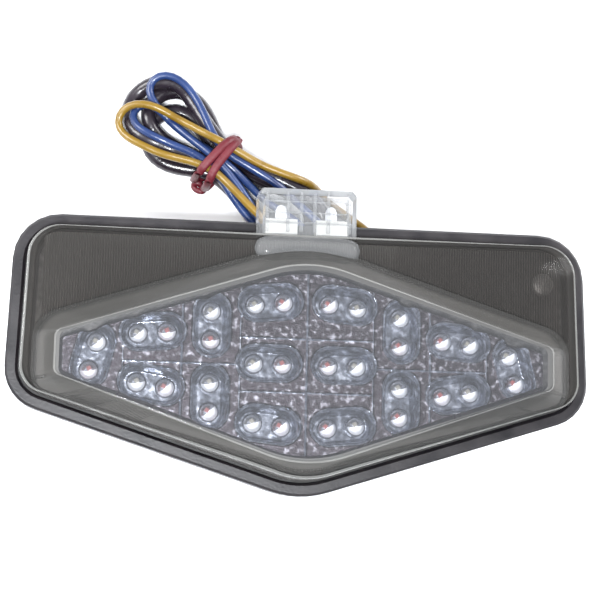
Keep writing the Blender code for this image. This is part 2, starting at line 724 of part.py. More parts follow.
def make_screw(name, x, y, seat_z, head_radius):
    """A pan-head screw whose head sits GAP above seat_z."""
    under = seat_z + GAP
    mesh = bmesh.new()
    turned(mesh, (
        (SCREW_SHANK_RADIUS, under - SCREW_LENGTH),
        (SCREW_SHANK_RADIUS, under),
        (head_radius, under),
        (head_radius, under + 0.5 * SCREW_HEAD_HEIGHT),
        (0.7 * head_radius, under + SCREW_HEAD_HEIGHT),
    ), 12, Matrix.Translation((x, y, 0.0)))
    add_object(name, mesh, zinc_steel(), smooth=40)


def make_screws():
    for x, word in ((-BOARD_POST_X, "left"), (0.0, "middle"), (BOARD_POST_X, "right")):
        make_screw(f"board_screw_{word}", x, 0.0, BOARD_Z + BOARD_THICKNESS, SCREW_HEAD_RADIUS)
    for side, word in ((-1, "left"), (1, "right")):
        x = side * CORNER_SCREW_X
        make_screw(f"reflector_screw_{word}", x, CORNER_SCREW_Y, REFLECTOR_PANEL_Z, CORNER_HEAD_RADIUS)


# ---------------------------------------------------------------- wiring


def make_grommet():
    outer_y = BODY_WALL_Y
    inner_y = outer_y - HOUSING_WALL
    mesh = bmesh.new()
    loft(mesh, [
        upright(grommet_stadium(grow), y)
        for grow, y in (
            (GROMMET_FLANGE, inner_y - GAP - GROMMET_FLANGE),
            (GROMMET_FLANGE, inner_y - GAP),
            (-GAP, inner_y - GAP),
            (-GAP, outer_y + GAP),
            (GROMMET_FLANGE, outer_y + GAP),
            (GROMMET_FLANGE, outer_y + GAP + GROMMET_FLANGE),
        )
    ])
    add_object("wire_grommet", mesh, black_rubber())


def smooth_route(route, spacing):
    """Points along a Catmull-Rom curve through route, about spacing apart."""
    knots = [2 * route[0] - route[1], *route, 2 * route[-1] - route[-2]]
    points = []
    for before, start, end, after in zip(knots, knots[1:], knots[2:], knots[3:]):
        steps = max(1, round((end - start).length / spacing))
        for step in range(steps):
            t = step / steps
            bend = (2 * before - 5 * start + 4 * end - after) * t
            twist = (3 * (start - end) + after - before) * t * t
            points.append(start + t * (end - before + bend + twist) / 2)
    points.append(route[-1])
    return points


def make_tube(name, route, diameter, material):
    curve = bpy.data.curves.new(name, "CURVE")
    curve.dimensions = "3D"
    curve.bevel_depth = diameter / 2
    curve.bevel_resolution = 2
    curve.use_fill_caps = True
    curve.materials.append(material)
    points = smooth_route([Vector(point) * MM for point in route], 2 * diameter)
    spline = curve.splines.new("POLY")
    spline.points.add(len(points) - 1)
    for knot, point in zip(spline.points, points):
        knot.co = (*point, 1.0)
    tube = bpy.data.objects.new(name, curve)
    bpy.context.scene.collection.objects.link(tube)
    tube.parent = HARNESS


def hank_outline(grow=0.0):
    """The hank seen from above: two round ends and the waist that the band draws in."""
    axis = HANK_INNER_END - HANK_OUTER_END
    length = axis.length
    waist = HANK_WAIST_SHARE * length
    side = []
    for step in range(1, 8):
        share = (1 - math.cos(math.pi * step / 8)) / 2
        narrowing = HANK_WAIST_HALF - HANK_OUTER_RADIUS
        side.append((waist * step / 8, HANK_OUTER_RADIUS + share * narrowing))
    side.append((waist, HANK_WAIST_HALF))
    for step in range(1, 8):
        share = (1 - math.cos(math.pi * step / 8)) / 2
        widening = HANK_INNER_RADIUS - HANK_WAIST_HALF
        side.append((waist + (length - waist) * step / 8, HANK_WAIST_HALF + share * widening))
    points = [Vector((along, -across - grow)) for along, across in side]
    for step in range(13):
        angle = -math.pi / 2 + math.pi * step / 12
        reach = HANK_INNER_RADIUS + grow
        points.append(Vector((length + reach * math.cos(angle), reach * math.sin(angle))))
    points += [Vector((along, across + grow)) for along, across in reversed(side)]
    for step in range(13):
        angle = math.pi / 2 + math.pi * step / 12
        reach = HANK_OUTER_RADIUS + grow
        points.append(Vector((reach * math.cos(angle), reach * math.sin(angle))))
    turn = Matrix.Rotation(math.atan2(axis.y, axis.x), 2)
    return [HANK_OUTER_END + turn @ point for point in points]


def band_frame():
    """Where the band sits: its middle on the hank's axis, at z = 0, with X along the axis."""
    axis = HANK_INNER_END - HANK_OUTER_END
    middle = HANK_OUTER_END + axis * HANK_WAIST_SHARE
    turn = Matrix.Rotation(math.atan2(axis.y, axis.x), 4, "Z")
    return Matrix.Translation((middle.x, middle.y, 0.0)) @ turn


def band_section(grow, along):
    """A rounded box round the waist, in the band's frame, at one place along the axis."""
    half = HANK_WAIST_HALF + BAND_CLEARANCE + grow
    low = BAND_THICKNESS - grow
    high = HANK_HEIGHT + GAP + grow
    corners = [Vector(c) for c in ((half, low), (half, high), (-half, high), (-half, low))]
    outline = rounded_outline(corners, (BAND_CLEARANCE / 2 + grow,) * 4)
    return [band_frame() @ Vector((along, point.x, point.y)) for point in outline]


def make_hank():
    mesh = bmesh.new()
    prism(mesh, hank_outline(), GAP, HANK_HEIGHT)
    hank = add_object("harness_hank", mesh, lead_sleeve(), parent=HARNESS)
    mesh = bmesh.new()
    half_width = BAND_WIDTH / 2 + GAP
    notch = box_outline(half_width, -2 * HANK_WAIST_HALF, 2 * HANK_WAIST_HALF)
    prism(mesh, notch, -1 * MM, BAND_THICKNESS + GAP)
    bmesh.ops.transform(mesh, matrix=band_frame(), verts=mesh.verts)
    combine(hank, add_object("band_notch", mesh, parent=HARNESS), "DIFFERENCE")


def make_band():
    red = paint("red_rubber", (0.16, 0.012, 0.022), 0.5)
    half = BAND_WIDTH / 2
    thick = BAND_THICKNESS - GAP
    mesh = bmesh.new()
    sections = ((0.0, -half), (thick, -half), (thick, half), (0.0, half))
    hoop(mesh, [band_section(grow, along) for grow, along in sections])
    bmesh.ops.recalc_face_normals(mesh, faces=mesh.faces)
    add_object("rubber_band", mesh, red, smooth=40, parent=HARNESS)


def make_wires():
    """The three stretches between the grommet and the hank, in millimetres from the grommet."""
    make_tube("black_lead", (
        (0.4, 1.9, 11.5), (0.35, 3.6, 11.4), (-0.7, 6.2, 9.8), (-3.6, 7.4, 6.7),
        (-7.4, 6.9, 3.8), (-10.7, 6.2, 2.5),
    ), LEAD_DIAMETER, lead_sleeve())
    make_tube("blue_wire", (
        (-4.2, 1.9, 11.5), (-4.3, 3.0, 11.5), (-5.3, 4.6, 11.4), (-7.3, 5.7, 11.1),
        (-10.2, 6.4, 10.4),
    ), WIRE_DIAMETER, blue_insulation())
    make_tube("yellow_wire", (
        (4.4, 1.9, 11.5), (4.4, 3.4, 11.2), (3.8, 5.8, 8.6), (2.4, 8.2, 4.6), (0.4, 10.4, 1.9),
        (-2.6, 13.0, 1.2), (-7.6, 16.4, 1.15), (-11.6, 19.0, 1.15), (-15.0, 21.1, 1.3),
    ), WIRE_DIAMETER, yellow_insulation())


def make_terminal(name, y, material):
    """A bullet terminal in its sleeve, lying on the connector and pointing to -X."""
    radius = TERMINAL_RADIUS
    aim = Matrix.Translation((CONNECTOR_END_X, y, CONNECTOR_HEIGHT + GAP + radius))
    aim @= Matrix.Rotation(-math.pi / 2, 4, "Y")
    mesh = bmesh.new()
    turned(mesh, (
        (radius, 0.0), (radius, SLEEVE_LENGTH), (0.75 * radius, SLEEVE_LENGTH),
        (0.75 * radius, TERMINAL_LENGTH - 1 * MM), (0.4 * radius, TERMINAL_LENGTH),
    ), 12, aim)
    add_object(name, mesh, material, smooth=40, parent=HARNESS)


def make_connectors():
    """The ends of the wiring, beside the hank: a three-way connector and two bullet terminals."""
    mesh = bmesh.new()
    half_length = CONNECTOR_LENGTH / 2
    high_y = CONNECTOR_Y + CONNECTOR_WIDTH
    outline = box_outline(half_length, CONNECTOR_Y, high_y, CONNECTOR_END_X - half_length)
    prism(mesh, outline, GAP, CONNECTOR_HEIGHT)
    white = paint("connector_nylon", (0.72, 0.70, 0.64), 0.45)
    add_object("lead_connector", mesh, white, parent=HARNESS)
    first_y = CONNECTOR_Y + TERMINAL_MARGIN
    make_terminal("blue_bullet_terminal", first_y, blue_insulation())
    make_terminal("yellow_bullet_terminal", first_y + TERMINAL_PITCH, yellow_insulation())


# ---------------------------------------------------------------- the lamp


for startup_object in list(bpy.data.objects):
    bpy.data.objects.remove(startup_object)

# Every piece hangs on this empty, which puts the middle of the lamp's depth in Y on the origin.
LAMP = bpy.data.objects.new("lamp", None)
bpy.context.scene.collection.objects.link(LAMP)
LOWEST_Y = min(point.y for point in flange_outline())
LAMP.location.y = -(TAB_END_Y + LOWEST_Y) / 2

# The wiring hangs on its own empty, under the grommet's middle on the housing's outer wall.
HARNESS = bpy.data.objects.new("harness", None)
bpy.context.scene.collection.objects.link(HARNESS)
HARNESS.parent = LAMP
HARNESS.location = (GROMMET_X, BODY_WALL_Y, 0.0)

make_housing()
make_inserts()
make_seal()
make_lens()
make_plate_lamps()
make_reflector()
make_board()
make_leds()
make_screws()
make_grommet()
make_hank()
make_band()
make_wires()
make_connectors()
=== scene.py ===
import math

import bmesh
import bpy
import numpy as np
from mathutils import Matrix, Vector


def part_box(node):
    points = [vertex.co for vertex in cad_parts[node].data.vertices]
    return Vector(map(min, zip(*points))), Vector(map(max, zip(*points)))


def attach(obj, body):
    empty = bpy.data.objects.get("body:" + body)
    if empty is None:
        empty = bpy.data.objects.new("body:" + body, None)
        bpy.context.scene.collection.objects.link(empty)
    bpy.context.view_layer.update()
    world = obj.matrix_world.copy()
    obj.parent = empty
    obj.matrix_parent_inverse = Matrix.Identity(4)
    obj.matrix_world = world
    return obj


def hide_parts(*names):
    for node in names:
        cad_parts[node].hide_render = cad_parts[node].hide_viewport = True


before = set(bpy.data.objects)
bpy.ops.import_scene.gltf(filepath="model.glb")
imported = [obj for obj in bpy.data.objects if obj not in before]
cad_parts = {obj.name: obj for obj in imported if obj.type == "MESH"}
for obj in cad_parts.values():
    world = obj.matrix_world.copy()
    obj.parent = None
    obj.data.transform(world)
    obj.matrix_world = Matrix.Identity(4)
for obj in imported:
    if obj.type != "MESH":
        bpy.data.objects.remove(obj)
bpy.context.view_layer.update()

MM = 0.001

# Sizes that the CAD model has too, in millimetres
TOP_Y = 36.8
LAMP_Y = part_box("rear_housing")[1][1] / MM - TOP_Y  # the lamp's own zero, in the frame
FLANGE_CORNERS = ((75.0, -10.4), (73.6, 36.8), (-73.6, 36.8), (-75.0, -10.4), (0.0, -34.2))
FLANGE_RADII = (11.0, 12.0, 12.0, 11.0, 25.0)
WINDOW_CORNERS = ((62.0, -5.2), (62.0, 5.2), (0.0, 25.3), (-62.0, 5.2), (-62.0, -5.2), (0.0, -26.8))
WINDOW_RADII = (2.0, 2.0, 30.0, 2.0, 2.0, 30.0)
LEAST_RADIUS = 1.0
LENS_INSET = 3.9
LENS_WALL = 2.0
FLANK_WIDTH = 6.0
WINDOW_Z = 40.0
PANEL_Z = 33.0
LENS_FOOT_Z = 25.1
REFLECTOR_TOP_Z = 36.4
REFLECTOR_PANEL_Z = 28.0
POCKET_FLOOR_Z = 30.4
POCKET_FLOOR_RADIUS = 3.1
LED_RADIUS = 2.5
LED_FLANGE_RADIUS = 2.9
SCREW_SHANK_RADIUS = 1.2
LEAD_DIAMETER = 4.0
WIRE_DIAMETER = 2.1

# Sizes of the details that only this script has
FLUTE_PITCH = 0.65
FLUTE_DEPTH = 0.4
STEPS_PER_FLUTE = 4
POCKET_RADIUS = 4.3  # at the face, wider than in the CAD model, because two LEDs share a pocket
RIM_WIDTH = 0.6
RIDGES = (0.0, 16.7, 31.2, 45.7)  # the reflector's upright ridges, from the middle line
RIDGE_HALF = 0.32
REFLECTOR_INSET = 1.6
REFLECTOR_COLUMNS = 480
REFLECTOR_ROWS = 190
PAIR_REACH = 16.0  # a pair further away than this in x has no pocket here
TAB_EDGE_Z = 32.1  # where the tab's chamfer starts
TAB_CHAMFER = 0.6
TAB_RIB_WIDTH = 0.8
TAB_RIB_FOOT_Z = 32.5
BULGE_LENGTH = 27.2
BULGE_MIDDLE = (29.0, 32.8)  # its y and z
LED_BODY_HEIGHT = 6.1
LED_DOME_STEPS = 9
CUP_PAINTED_GLOW = 0.3  # painted glow in an LED's cup, standing in for the flash that its dome gathers
BACK_WALL_Z = 4.0
SCREW_HEAD_HEIGHT = 1.5
CORD_STEEPEST = 0.42  # how fast a cord may climb, in height for each step along it

# Floor and camera
FLOOR_HALF = 900.0
FLOOR_STEPS = 24
FLOOR_Z = -0.02
CAMERA_AIM = (1.9, 20.6, 4.0)
CAMERA_BACK = (-0.12, -0.155, 0.98)  # from the aim towards the camera
CAMERA_DISTANCE = 0.45  # in metres
CAMERA_ROLL = 1.2  # in degrees


# ---- outlines, in millimetres


def offset_corners(corners, inset):
    """The corners of a convex, counter-clockwise outline whose sides all move inwards."""
    moved = []
    count = len(corners)
    for index in range(count):
        before = Vector(corners[index - 1])
        here = Vector(corners[index])
        after = Vector(corners[(index + 1) % count])
        first = (here - before).normalized()
        second = (after - here).normalized()
        first_normal = Vector((-first.y, first.x))
        second_normal = Vector((-second.y, second.x))
        share = inset / (1.0 + first_normal.dot(second_normal))
        moved.append(here + (first_normal + second_normal) * share)
    return moved


def rounded_outline(corners, radii, inset, steps):
    """A closed outline with an arc in each corner."""
    moved = offset_corners(corners, inset)
    points = []
    count = len(moved)
    for index in range(count):
        here = moved[index]
        first = (here - moved[index - 1]).normalized()
        second = (moved[(index + 1) % count] - here).normalized()
        radius = max(radii[index] - inset, LEAST_RADIUS)
        turn = math.acos(max(-1.0, min(1.0, first.dot(second))))
        reach = radius * math.tan(turn / 2)
        centre = here - first * reach + Vector((-first.y, first.x)) * radius
        for step in range(steps + 1):
            angle = turn * step / steps
            spoke = Vector((first.y, -first.x)) * radius
            turned_spoke = Matrix.Rotation(angle, 2) @ spoke
            points.append(centre + turned_spoke)
    return points


def flange_outline(inset, steps=24):
    return rounded_outline(FLANGE_CORNERS, FLANGE_RADII, inset, steps)


def window_outline(inset, steps=16):
    return rounded_outline(WINDOW_CORNERS, WINDOW_RADII, inset, steps)


def closed_ring(points):
    return np.array([tuple(point) for point in points] + [tuple(points[0])])


def distances(line):
    """How far along a line each of its places is."""
    return np.concatenate([[0.0], np.cumsum(np.linalg.norm(np.diff(line, axis=0), axis=1))])


def spaced(points, count):
    """That many points at equal steps round a closed outline."""
    ring = closed_ring(points)
    along = distances(ring)
    places = np.linspace(0.0, along[-1], count, endpoint=False)
    return np.column_stack([np.interp(places, along, ring[:, axis]) for axis in (0, 1)])


def reach_at(outline, directions):
    """How far the outline is from the middle along each direction."""
    ring = np.array([tuple(point) for point in outline])
    angles = np.arctan2(ring[:, 1], ring[:, 0])
    ring = np.roll(ring, -int(np.argmin(angles)), axis=0)
    angles = np.arctan2(ring[:, 1], ring[:, 0])
    after = np.vstack([ring, ring[:1]])
    wanted = np.arctan2(directions[:, 1], directions[:, 0])
    found = np.searchsorted(angles, wanted, side="right") - 1
    start = after[found]
    side = after[found + 1] - start
    start[found < 0] = ring[-1]
    side[found < 0] = ring[0] - ring[-1]
    across = directions[:, 0] * side[:, 1] - directions[:, 1] * side[:, 0]
    return (start[:, 0] * side[:, 1] - start[:, 1] * side[:, 0]) / across


def branch_y(outline, x, upper):
    """The outline's y at one x, on its upper or its lower side."""
    best = None
    count = len(outline)
    for index in range(count):
        first = outline[index]
        second = outline[(index + 1) % count]
        if (first[0] - x) * (second[0] - x) > 0 or first[0] == second[0]:
            continue
        y = first[1] + (second[1] - first[1]) * (x - first[0]) / (second[0] - first[0])
        if best is None or (y > best) == upper:
            best = y
    return best


# ---- materials


class Look:
    """A node material on a Principled shader, with the object's own coordinates in metres."""

    def __init__(self, name):
        self.material = bpy.data.materials.new(name)
        self.material.use_nodes = True
        self.nodes = self.material.node_tree.nodes
        self.links = self.material.node_tree.links
        self.shader = self.nodes["Principled BSDF"]
        self.place = self.nodes.new("ShaderNodeTexCoord").outputs["Object"]

    def noise(self, per_metre, detail=3.0):
        texture = self.nodes.new("ShaderNodeTexNoise")
        texture.inputs["Scale"].default_value = per_metre
        texture.inputs["Detail"].default_value = detail
        self.links.new(self.place, texture.inputs["Vector"])
        return texture.outputs["Fac"]

    def ramp(self, value, stops, socket):
        """Colours between the (position, colour) stops, on a socket of the shader."""
        ramp = self.nodes.new("ShaderNodeValToRGB")
        elements = ramp.color_ramp.elements
        for index, (position, colour) in enumerate(stops):
            element = elements[index] if index < 2 else elements.new(position)
            element.position = position
            element.color = (*colour, 1.0)
        self.links.new(value, ramp.inputs["Fac"])
        self.links.new(ramp.outputs["Color"], self.shader.inputs[socket])

    def rough(self, value, low, high, low_at=0.3):
        stops = ((low_at, (low,) * 3), (1.0 - low_at, (high,) * 3))
        self.ramp(value, stops, "Roughness")

    def bump(self, height, strength, distance):
        bump = self.nodes.new("ShaderNodeBump")
        bump.inputs["Strength"].default_value = strength
        bump.inputs["Distance"].default_value = distance
        self.links.new(height, bump.inputs["Height"])
        self.links.new(bump.outputs["Normal"], self.shader.inputs["Normal"])

    def set(self, socket, value):
        self.shader.inputs[socket].default_value = value


def plain_look(name, dark, light, rough, grain, bump, metal=0.0, coat=0.0):
    """An opaque surface: colour and roughness vary with noise, and fine grain stands up from it."""
    look = Look(name)
    broad = look.noise(140.0, 4.0)
    look.ramp(broad, ((0.3, dark), (0.7, light)), "Base Color")
    look.rough(broad, *rough, low_at=0.25)
    look.set("Metallic", metal)
    look.set("Coat Weight", coat)
    look.set("Coat Roughness", 0.12)
    look.bump(look.noise(grain, 5.0), bump, 0.0004)
    return look.material


def clear_look(name, tint, haze, haze_colour, rough):
    """A clear plastic: see-through, with reflections by Fresnel and a share of haze in the plastic."""
    look = Look(name)
    look.set("Base Color", (*haze_colour, 1.0))
    look.set("IOR", 1.5)
    look.rough(look.noise(60.0), rough, rough * 1.7)
    look.bump(look.noise(900.0, 2.0), 0.05, 0.0003)
    nodes, links = look.nodes, look.links
    clear = nodes.new("ShaderNodeBsdfTransparent")
    clear.inputs["Color"].default_value = (*tint, 1.0)
    fresnel = nodes.new("ShaderNodeFresnel")
    fresnel.inputs["IOR"].default_value = 1.5
    cloud = nodes.new("ShaderNodeMapRange")
    cloud.inputs["To Min"].default_value = haze * 0.8
    cloud.inputs["To Max"].default_value = haze * 1.2
    links.new(look.noise(220.0), cloud.inputs["Value"])
    share = nodes.new("ShaderNodeMath")
    share.operation = "ADD"
    share.use_clamp = True
    links.new(fresnel.outputs["Fac"], share.inputs[0])
    links.new(cloud.outputs["Result"], share.inputs[1])
    mix = nodes.new("ShaderNodeMixShader")
    links.new(share.outputs["Value"], mix.inputs["Fac"])
    links.new(clear.outputs["BSDF"], mix.inputs[1])
    links.new(look.shader.outputs["BSDF"], mix.inputs[2])
    links.new(mix.outputs["Shader"], nodes["Material Output"].inputs["Surface"])
    return look.material


def reflector_look(name, colours, rough, sparkle, metal=1.0):
    """Vacuum metal on moulded plastic, with a fine sparkle."""
    look = Look(name)
    cells = look.nodes.new("ShaderNodeTexVoronoi")
    cells.inputs["Scale"].default_value = 2600.0
    look.links.new(look.place, cells.inputs["Vector"])
    broad = look.noise(700.0, 8.0)
    look.ramp(broad, zip((0.36, 0.55, 0.74), colours), "Base Color")
    look.set("Metallic", metal)
    look.rough(broad, *rough)
    look.bump(cells.outputs["Distance"], sparkle, 0.0003)
    return look.material


def floor_look():
    look = Look("pale_floor")
    pale = ((0.3, (0.90, 0.90, 0.91)), (0.7, (0.93, 0.93, 0.94)))
    look.ramp(look.noise(30.0), pale, "Base Color")
    look.set("Roughness", 0.7)
    return look.material


def chip_look(name, colour):
    """An LED's chip, darker in patches."""
    look = Look(name)
    deep = tuple(part * 0.5 for part in colour)
    look.ramp(look.noise(1200.0), ((0.3, deep), (0.7, colour)), "Base Color")
    look.set("Roughness", 0.35)
    return look.material


def painted_glow_cup_look():
    """An LED cup's painted highlight side, with a painted glow for the flash its dome gathers."""
    look = plain_look(
        "led_cup_painted_glow", (0.80, 0.82, 0.88), (0.96, 0.97, 1.0), (0.18, 0.32), 3000.0, 0.1, metal=0.2,
    )
    shader = look.node_tree.nodes["Principled BSDF"]
    # emission on a part that is no lamp: a painted glow
    shader.inputs["Emission Color"].default_value = (0.93, 0.95, 1.0, 1.0)
    shader.inputs["Emission Strength"].default_value = CUP_PAINTED_GLOW
    return look


def lens_looks():
    return {
        "window": clear_look("clear_lens", (0.96, 0.96, 0.96), 0.008, (0.5, 0.51, 0.54), 0.04),
        "flank": clear_look("frosted_flank", (0.66, 0.65, 0.64), 0.14, (0.20, 0.197, 0.19), 0.10),
        # whiter haze for thin rings along the lens's edges: a painted highlight line
        "edge": clear_look("lens_edge_painted_highlight", (0.80, 0.80, 0.79), 0.24, (0.50, 0.50, 0.48), 0.08),
        "side": clear_look("ribbed_side", (0.74, 0.72, 0.70), 0.12, (0.26, 0.25, 0.24), 0.08),
        "panel": clear_look("fluted_panel", (0.79, 0.78, 0.77), 0.04, (0.16, 0.155, 0.15), 0.07),
        "tab": clear_look(
            "plate_window_plastic", (0.94, 0.94, 0.94), 0.08, (0.66, 0.67, 0.68), 0.06,
        ),
    }


def reflector_looks():
    return {
        "reflector": reflector_look(
            "reflector_metal",
            ((0.02, 0.016, 0.019), (0.045, 0.039, 0.045), (0.34, 0.33, 0.37)), (0.28, 0.45), 0.3,
        ),
        # a brighter copy of the same metal for pockets, rims and ridges: a painted highlight
        "pocket": reflector_look(
            "pocket_metal_painted_highlight",
            ((0.13, 0.14, 0.17), (0.30, 0.32, 0.38), (0.80, 0.83, 0.92)), (0.12, 0.26), 0.08, 0.75,
        ),
        # a darker copy of the same metal for the flat surround: painted shade over its reflection of
        # the room
        "surround": reflector_look(
            "surround_metal_painted_shade",
            ((0.06, 0.058, 0.056), (0.09, 0.087, 0.085), (0.15, 0.147, 0.145)), (0.4, 0.6), 0.1,
        ),
    }


def led_looks():
    return {
        "epoxy": clear_look("clear_epoxy", (0.97, 0.97, 0.98), 0.035, (0.75, 0.80, 0.90), 0.05),
        # a darker, cloudier epoxy on the dome's shoulder: a painted dark ring round its edge
        "epoxy_painted_dark_rim": clear_look(
            "epoxy_shoulder_painted_shade", (0.45, 0.46, 0.50), 0.30, (0.10, 0.10, 0.12), 0.04,
        ),
        # painted highlight with a painted glow, for the cup's bright side
        "cup": painted_glow_cup_look(),
        # painted shade, for the cup's dark side
        "cup_painted_shade": plain_look(
            "led_cup_shade", (0.16, 0.16, 0.18), (0.42, 0.43, 0.47), (0.14, 0.3), 3000.0, 0.1,
            metal=0.9,
        ),
        "red_chip": chip_look("red_chip", (0.34, 0.035, 0.02)),
        "amber_chip": chip_look("amber_chip", (0.30, 0.27, 0.20)),
    }


def body_looks():
    return {
        "housing": plain_look(
            "glossy_black_plastic", (0.006, 0.005, 0.007), (0.017, 0.014, 0.016),
            (0.30, 0.46), 1400.0, 0.12,
        ),
        "board": plain_look(
            "board_mask", (0.012, 0.03, 0.016), (0.03, 0.06, 0.035), (0.3, 0.5), 2000.0, 0.15,
        ),
        "white": plain_look(
            "white_plastic", (0.66, 0.65, 0.61), (0.78, 0.77, 0.73), (0.35, 0.5), 1800.0, 0.1,
        ),
        "steel": plain_look(
            "zinc_steel", (0.50, 0.50, 0.50), (0.80, 0.80, 0.82), (0.22, 0.42), 2600.0, 0.3,
            metal=0.7,
        ),
        "brass": plain_look(
            "brass", (0.50, 0.33, 0.11), (0.72, 0.52, 0.22), (0.22, 0.4), 2400.0, 0.15, metal=1.0,
        ),
        "rubber": plain_look(
            "black_rubber", (0.012, 0.012, 0.012), (0.03, 0.028, 0.027), (0.5, 0.75), 1600.0, 0.3,
        ),
    }


def wiring_looks():
    return {
        "sleeve": plain_look(
            "lead_sleeve", (0.010, 0.007, 0.011), (0.024, 0.018, 0.025), (0.2, 0.38), 1100.0, 0.25,
            coat=0.2,
        ),
        "blue": plain_look(
            "blue_insulation", (0.008, 0.022, 0.085), (0.018, 0.042, 0.14), (0.22, 0.4), 1800.0,
            0.2, coat=0.2,
        ),
        "yellow": plain_look(
            "yellow_insulation", (0.16, 0.092, 0.008), (0.23, 0.14, 0.016), (0.22, 0.4), 1800.0,
            0.2, coat=0.2,
        ),
        "band": plain_look(
            "red_rubber", (0.075, 0.004, 0.009), (0.12, 0.008, 0.016), (0.35, 0.6), 1500.0, 0.35,
        ),
    }


LOOKS = {**lens_looks(), **reflector_looks(), **led_looks(), **body_looks(), **wiring_looks()}
LOOKS["floor"] = floor_look()


# ---- mesh tools


def circle(x, y, z, reaches):
    """Places round an upright axis, one for each reach."""
    places = []
    for side, reach in enumerate(reaches):
        angle = math.tau * side / len(reaches)
        places.append((x + reach * math.cos(angle), y + reach * math.sin(angle), z))
    return places


class Shape:
    """Vertices in millimetres in the lamp's own frame, with faces and the look of each face."""

    def __init__(self):
        self.vertices = []
        self.faces = []
        self.marks = []
        self.ends = []

    def ring(self, points, heights):
        """Adds a ring of vertices and returns their numbers."""
        first = len(self.vertices)
        if isinstance(heights, (int, float)):
            heights = [heights] * len(points)
        for point, height in zip(points, heights):
            self.vertices.append((float(point[0]), float(point[1]), float(height)))
        return list(range(first, len(self.vertices)))

    def points(self, places):
        """Adds a vertex at each place and returns their numbers."""
        first = len(self.vertices)
        self.vertices.extend(tuple(float(value) for value in place) for place in places)
        return list(range(first, len(self.vertices)))

    def face(self, corners, mark=0):
        """Adds a face, and mark says which of the piece's looks it has."""
        self.faces.append(tuple(corners))
        self.marks.append(mark)

    def join(self, lower, upper, mark=0):
        """A band of quads between two closed rings."""
        count = len(lower)
        for index in range(count):
            after = (index + 1) % count
            self.face((lower[index], lower[after], upper[after], upper[index]), mark)

    def box(self, low, high, mark=0):
        corners = self.points([
            (x, y, z) for z in (low[2], high[2]) for y in (low[1], high[1]) for x in (low[0], high[0])
        ])
        for picks in ("0231", "4576", "0154", "2673", "0462", "1375"):
            self.face([corners[int(pick)] for pick in picks], mark)

    def middle_of(self, face):
        return [sum(self.vertices[corner][axis] for corner in face) / len(face) for axis in range(3)]

    def turned(self, profile, centre, sides, mark=0):
        """A solid of revolution about an upright axis: the profile is (radius, height) pairs."""
        rings = []
        for radius, height in profile:
            reaches = [radius] * sides if radius > 1e-6 else [0.0]
            rings.append(self.points(circle(*centre[:2], centre[2] + height, reaches)))
        for lower, upper in zip(rings, rings[1:]):
            self.bridge(lower, upper, sides, mark)
        self.ends = rings

    def bridge(self, lower, upper, sides, mark):
        """A band between two rings, either of which may be a single point on the axis."""
        for side in range(sides):
            after = (side + 1) % sides
            if len(lower) == 1:
                self.face((lower[0], upper[after], upper[side]), mark)
            elif len(upper) == 1:
                self.face((lower[side], lower[after], upper[0]), mark)
            else:
                self.face((lower[side], lower[after], upper[after], upper[side]), mark)

    def tube(self, path, radius, sides, closed, mark=0, squash=1.0):
        """A round or flattened section along a path of points."""
        count = len(path)
        rings = []
        for index in range(count):
            before = Vector(path[index - 1] if closed or index else path[0])
            after = Vector(path[(index + 1) % count] if closed or index < count - 1 else path[-1])
            along = (after - before).normalized()
            hint = Vector((0.0, 0.0, 1.0)) if abs(along.z) < 0.9 else Vector((0.0, 1.0, 0.0))
            across = along.cross(hint).normalized()
            up = across.cross(along)
            ring = []
            for side in range(sides):
                angle = math.tau * side / sides
                offset = across * math.cos(angle) * radius + up * math.sin(angle) * radius * squash
                ring.append(Vector(path[index]) + offset)
            rings.append(self.points(ring))
        for index in range(count if closed else count - 1):
            self.join(rings[index], rings[(index + 1) % count], mark)
        if not closed:
            self.face(rings[0], mark)
            self.face(rings[-1][::-1], mark)

    def make(self, name, looks, angle=35.0, shift=LAMP_Y):
        """The finished object, in metres in the frame."""
        mesh = bpy.data.meshes.new(name)
        vertices = [(x * MM, (y + shift) * MM, z * MM) for x, y, z in self.vertices]
        mesh.from_pydata(vertices, [], self.faces)
        for look in looks:
            mesh.materials.append(look)
        mesh.polygons.foreach_set("material_index", self.marks)
        work = bmesh.new()
        work.from_mesh(mesh)
        bmesh.ops.recalc_face_normals(work, faces=work.faces)
        work.to_mesh(mesh)
        work.free()
        mesh.shade_smooth()
        mesh.set_sharp_from_angle(angle=math.radians(angle))
        piece = bpy.data.objects.new(name, mesh)
        bpy.context.scene.collection.objects.link(piece)
        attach(piece, "root")
        return piece


def dress(node, look):
    """Gives a CAD node that stays its own material."""
    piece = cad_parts[node]
    if not piece.material_slots:
        piece.data.materials.append(look)
    for place in piece.material_slots:
        place.material = look


# ---- camera, light and floor


def make_camera():
    x, y, z = CAMERA_AIM
    target = Vector((x, y + LAMP_Y, z)) * MM
    back = Vector(CAMERA_BACK).normalized()
    roll = math.radians(CAMERA_ROLL)
    across = Vector((-math.sin(roll), math.cos(roll), 0.0)).cross(back).normalized()
    up = back.cross(across)
    camera = bpy.data.objects.new("camera", bpy.data.cameras.new("camera"))
    bpy.context.scene.collection.objects.link(camera)
    camera.data.lens = 100.0
    camera.data.sensor_width = 36.0
    camera.data.clip_start = 0.02
    turn = Matrix((across, up, back)).transposed()
    camera.matrix_world = Matrix.Translation(target + back * CAMERA_DISTANCE) @ turn.to_4x4()
    bpy.context.scene.camera = camera


def area_light(name, place, aim, size, power, colour=(1.0, 1.0, 1.0)):
    lamp = bpy.data.lights.new(name, "AREA")
    lamp.shape = "DISK"
    lamp.size = size
    lamp.energy = power
    lamp.color = colour
    light = bpy.data.objects.new(name, lamp)
    bpy.context.scene.collection.objects.link(light)
    light.location = place
    light.rotation_mode = "QUATERNION"
    light.rotation_quaternion = (Vector(aim) - Vector(place)).to_track_quat("-Z", "Y")


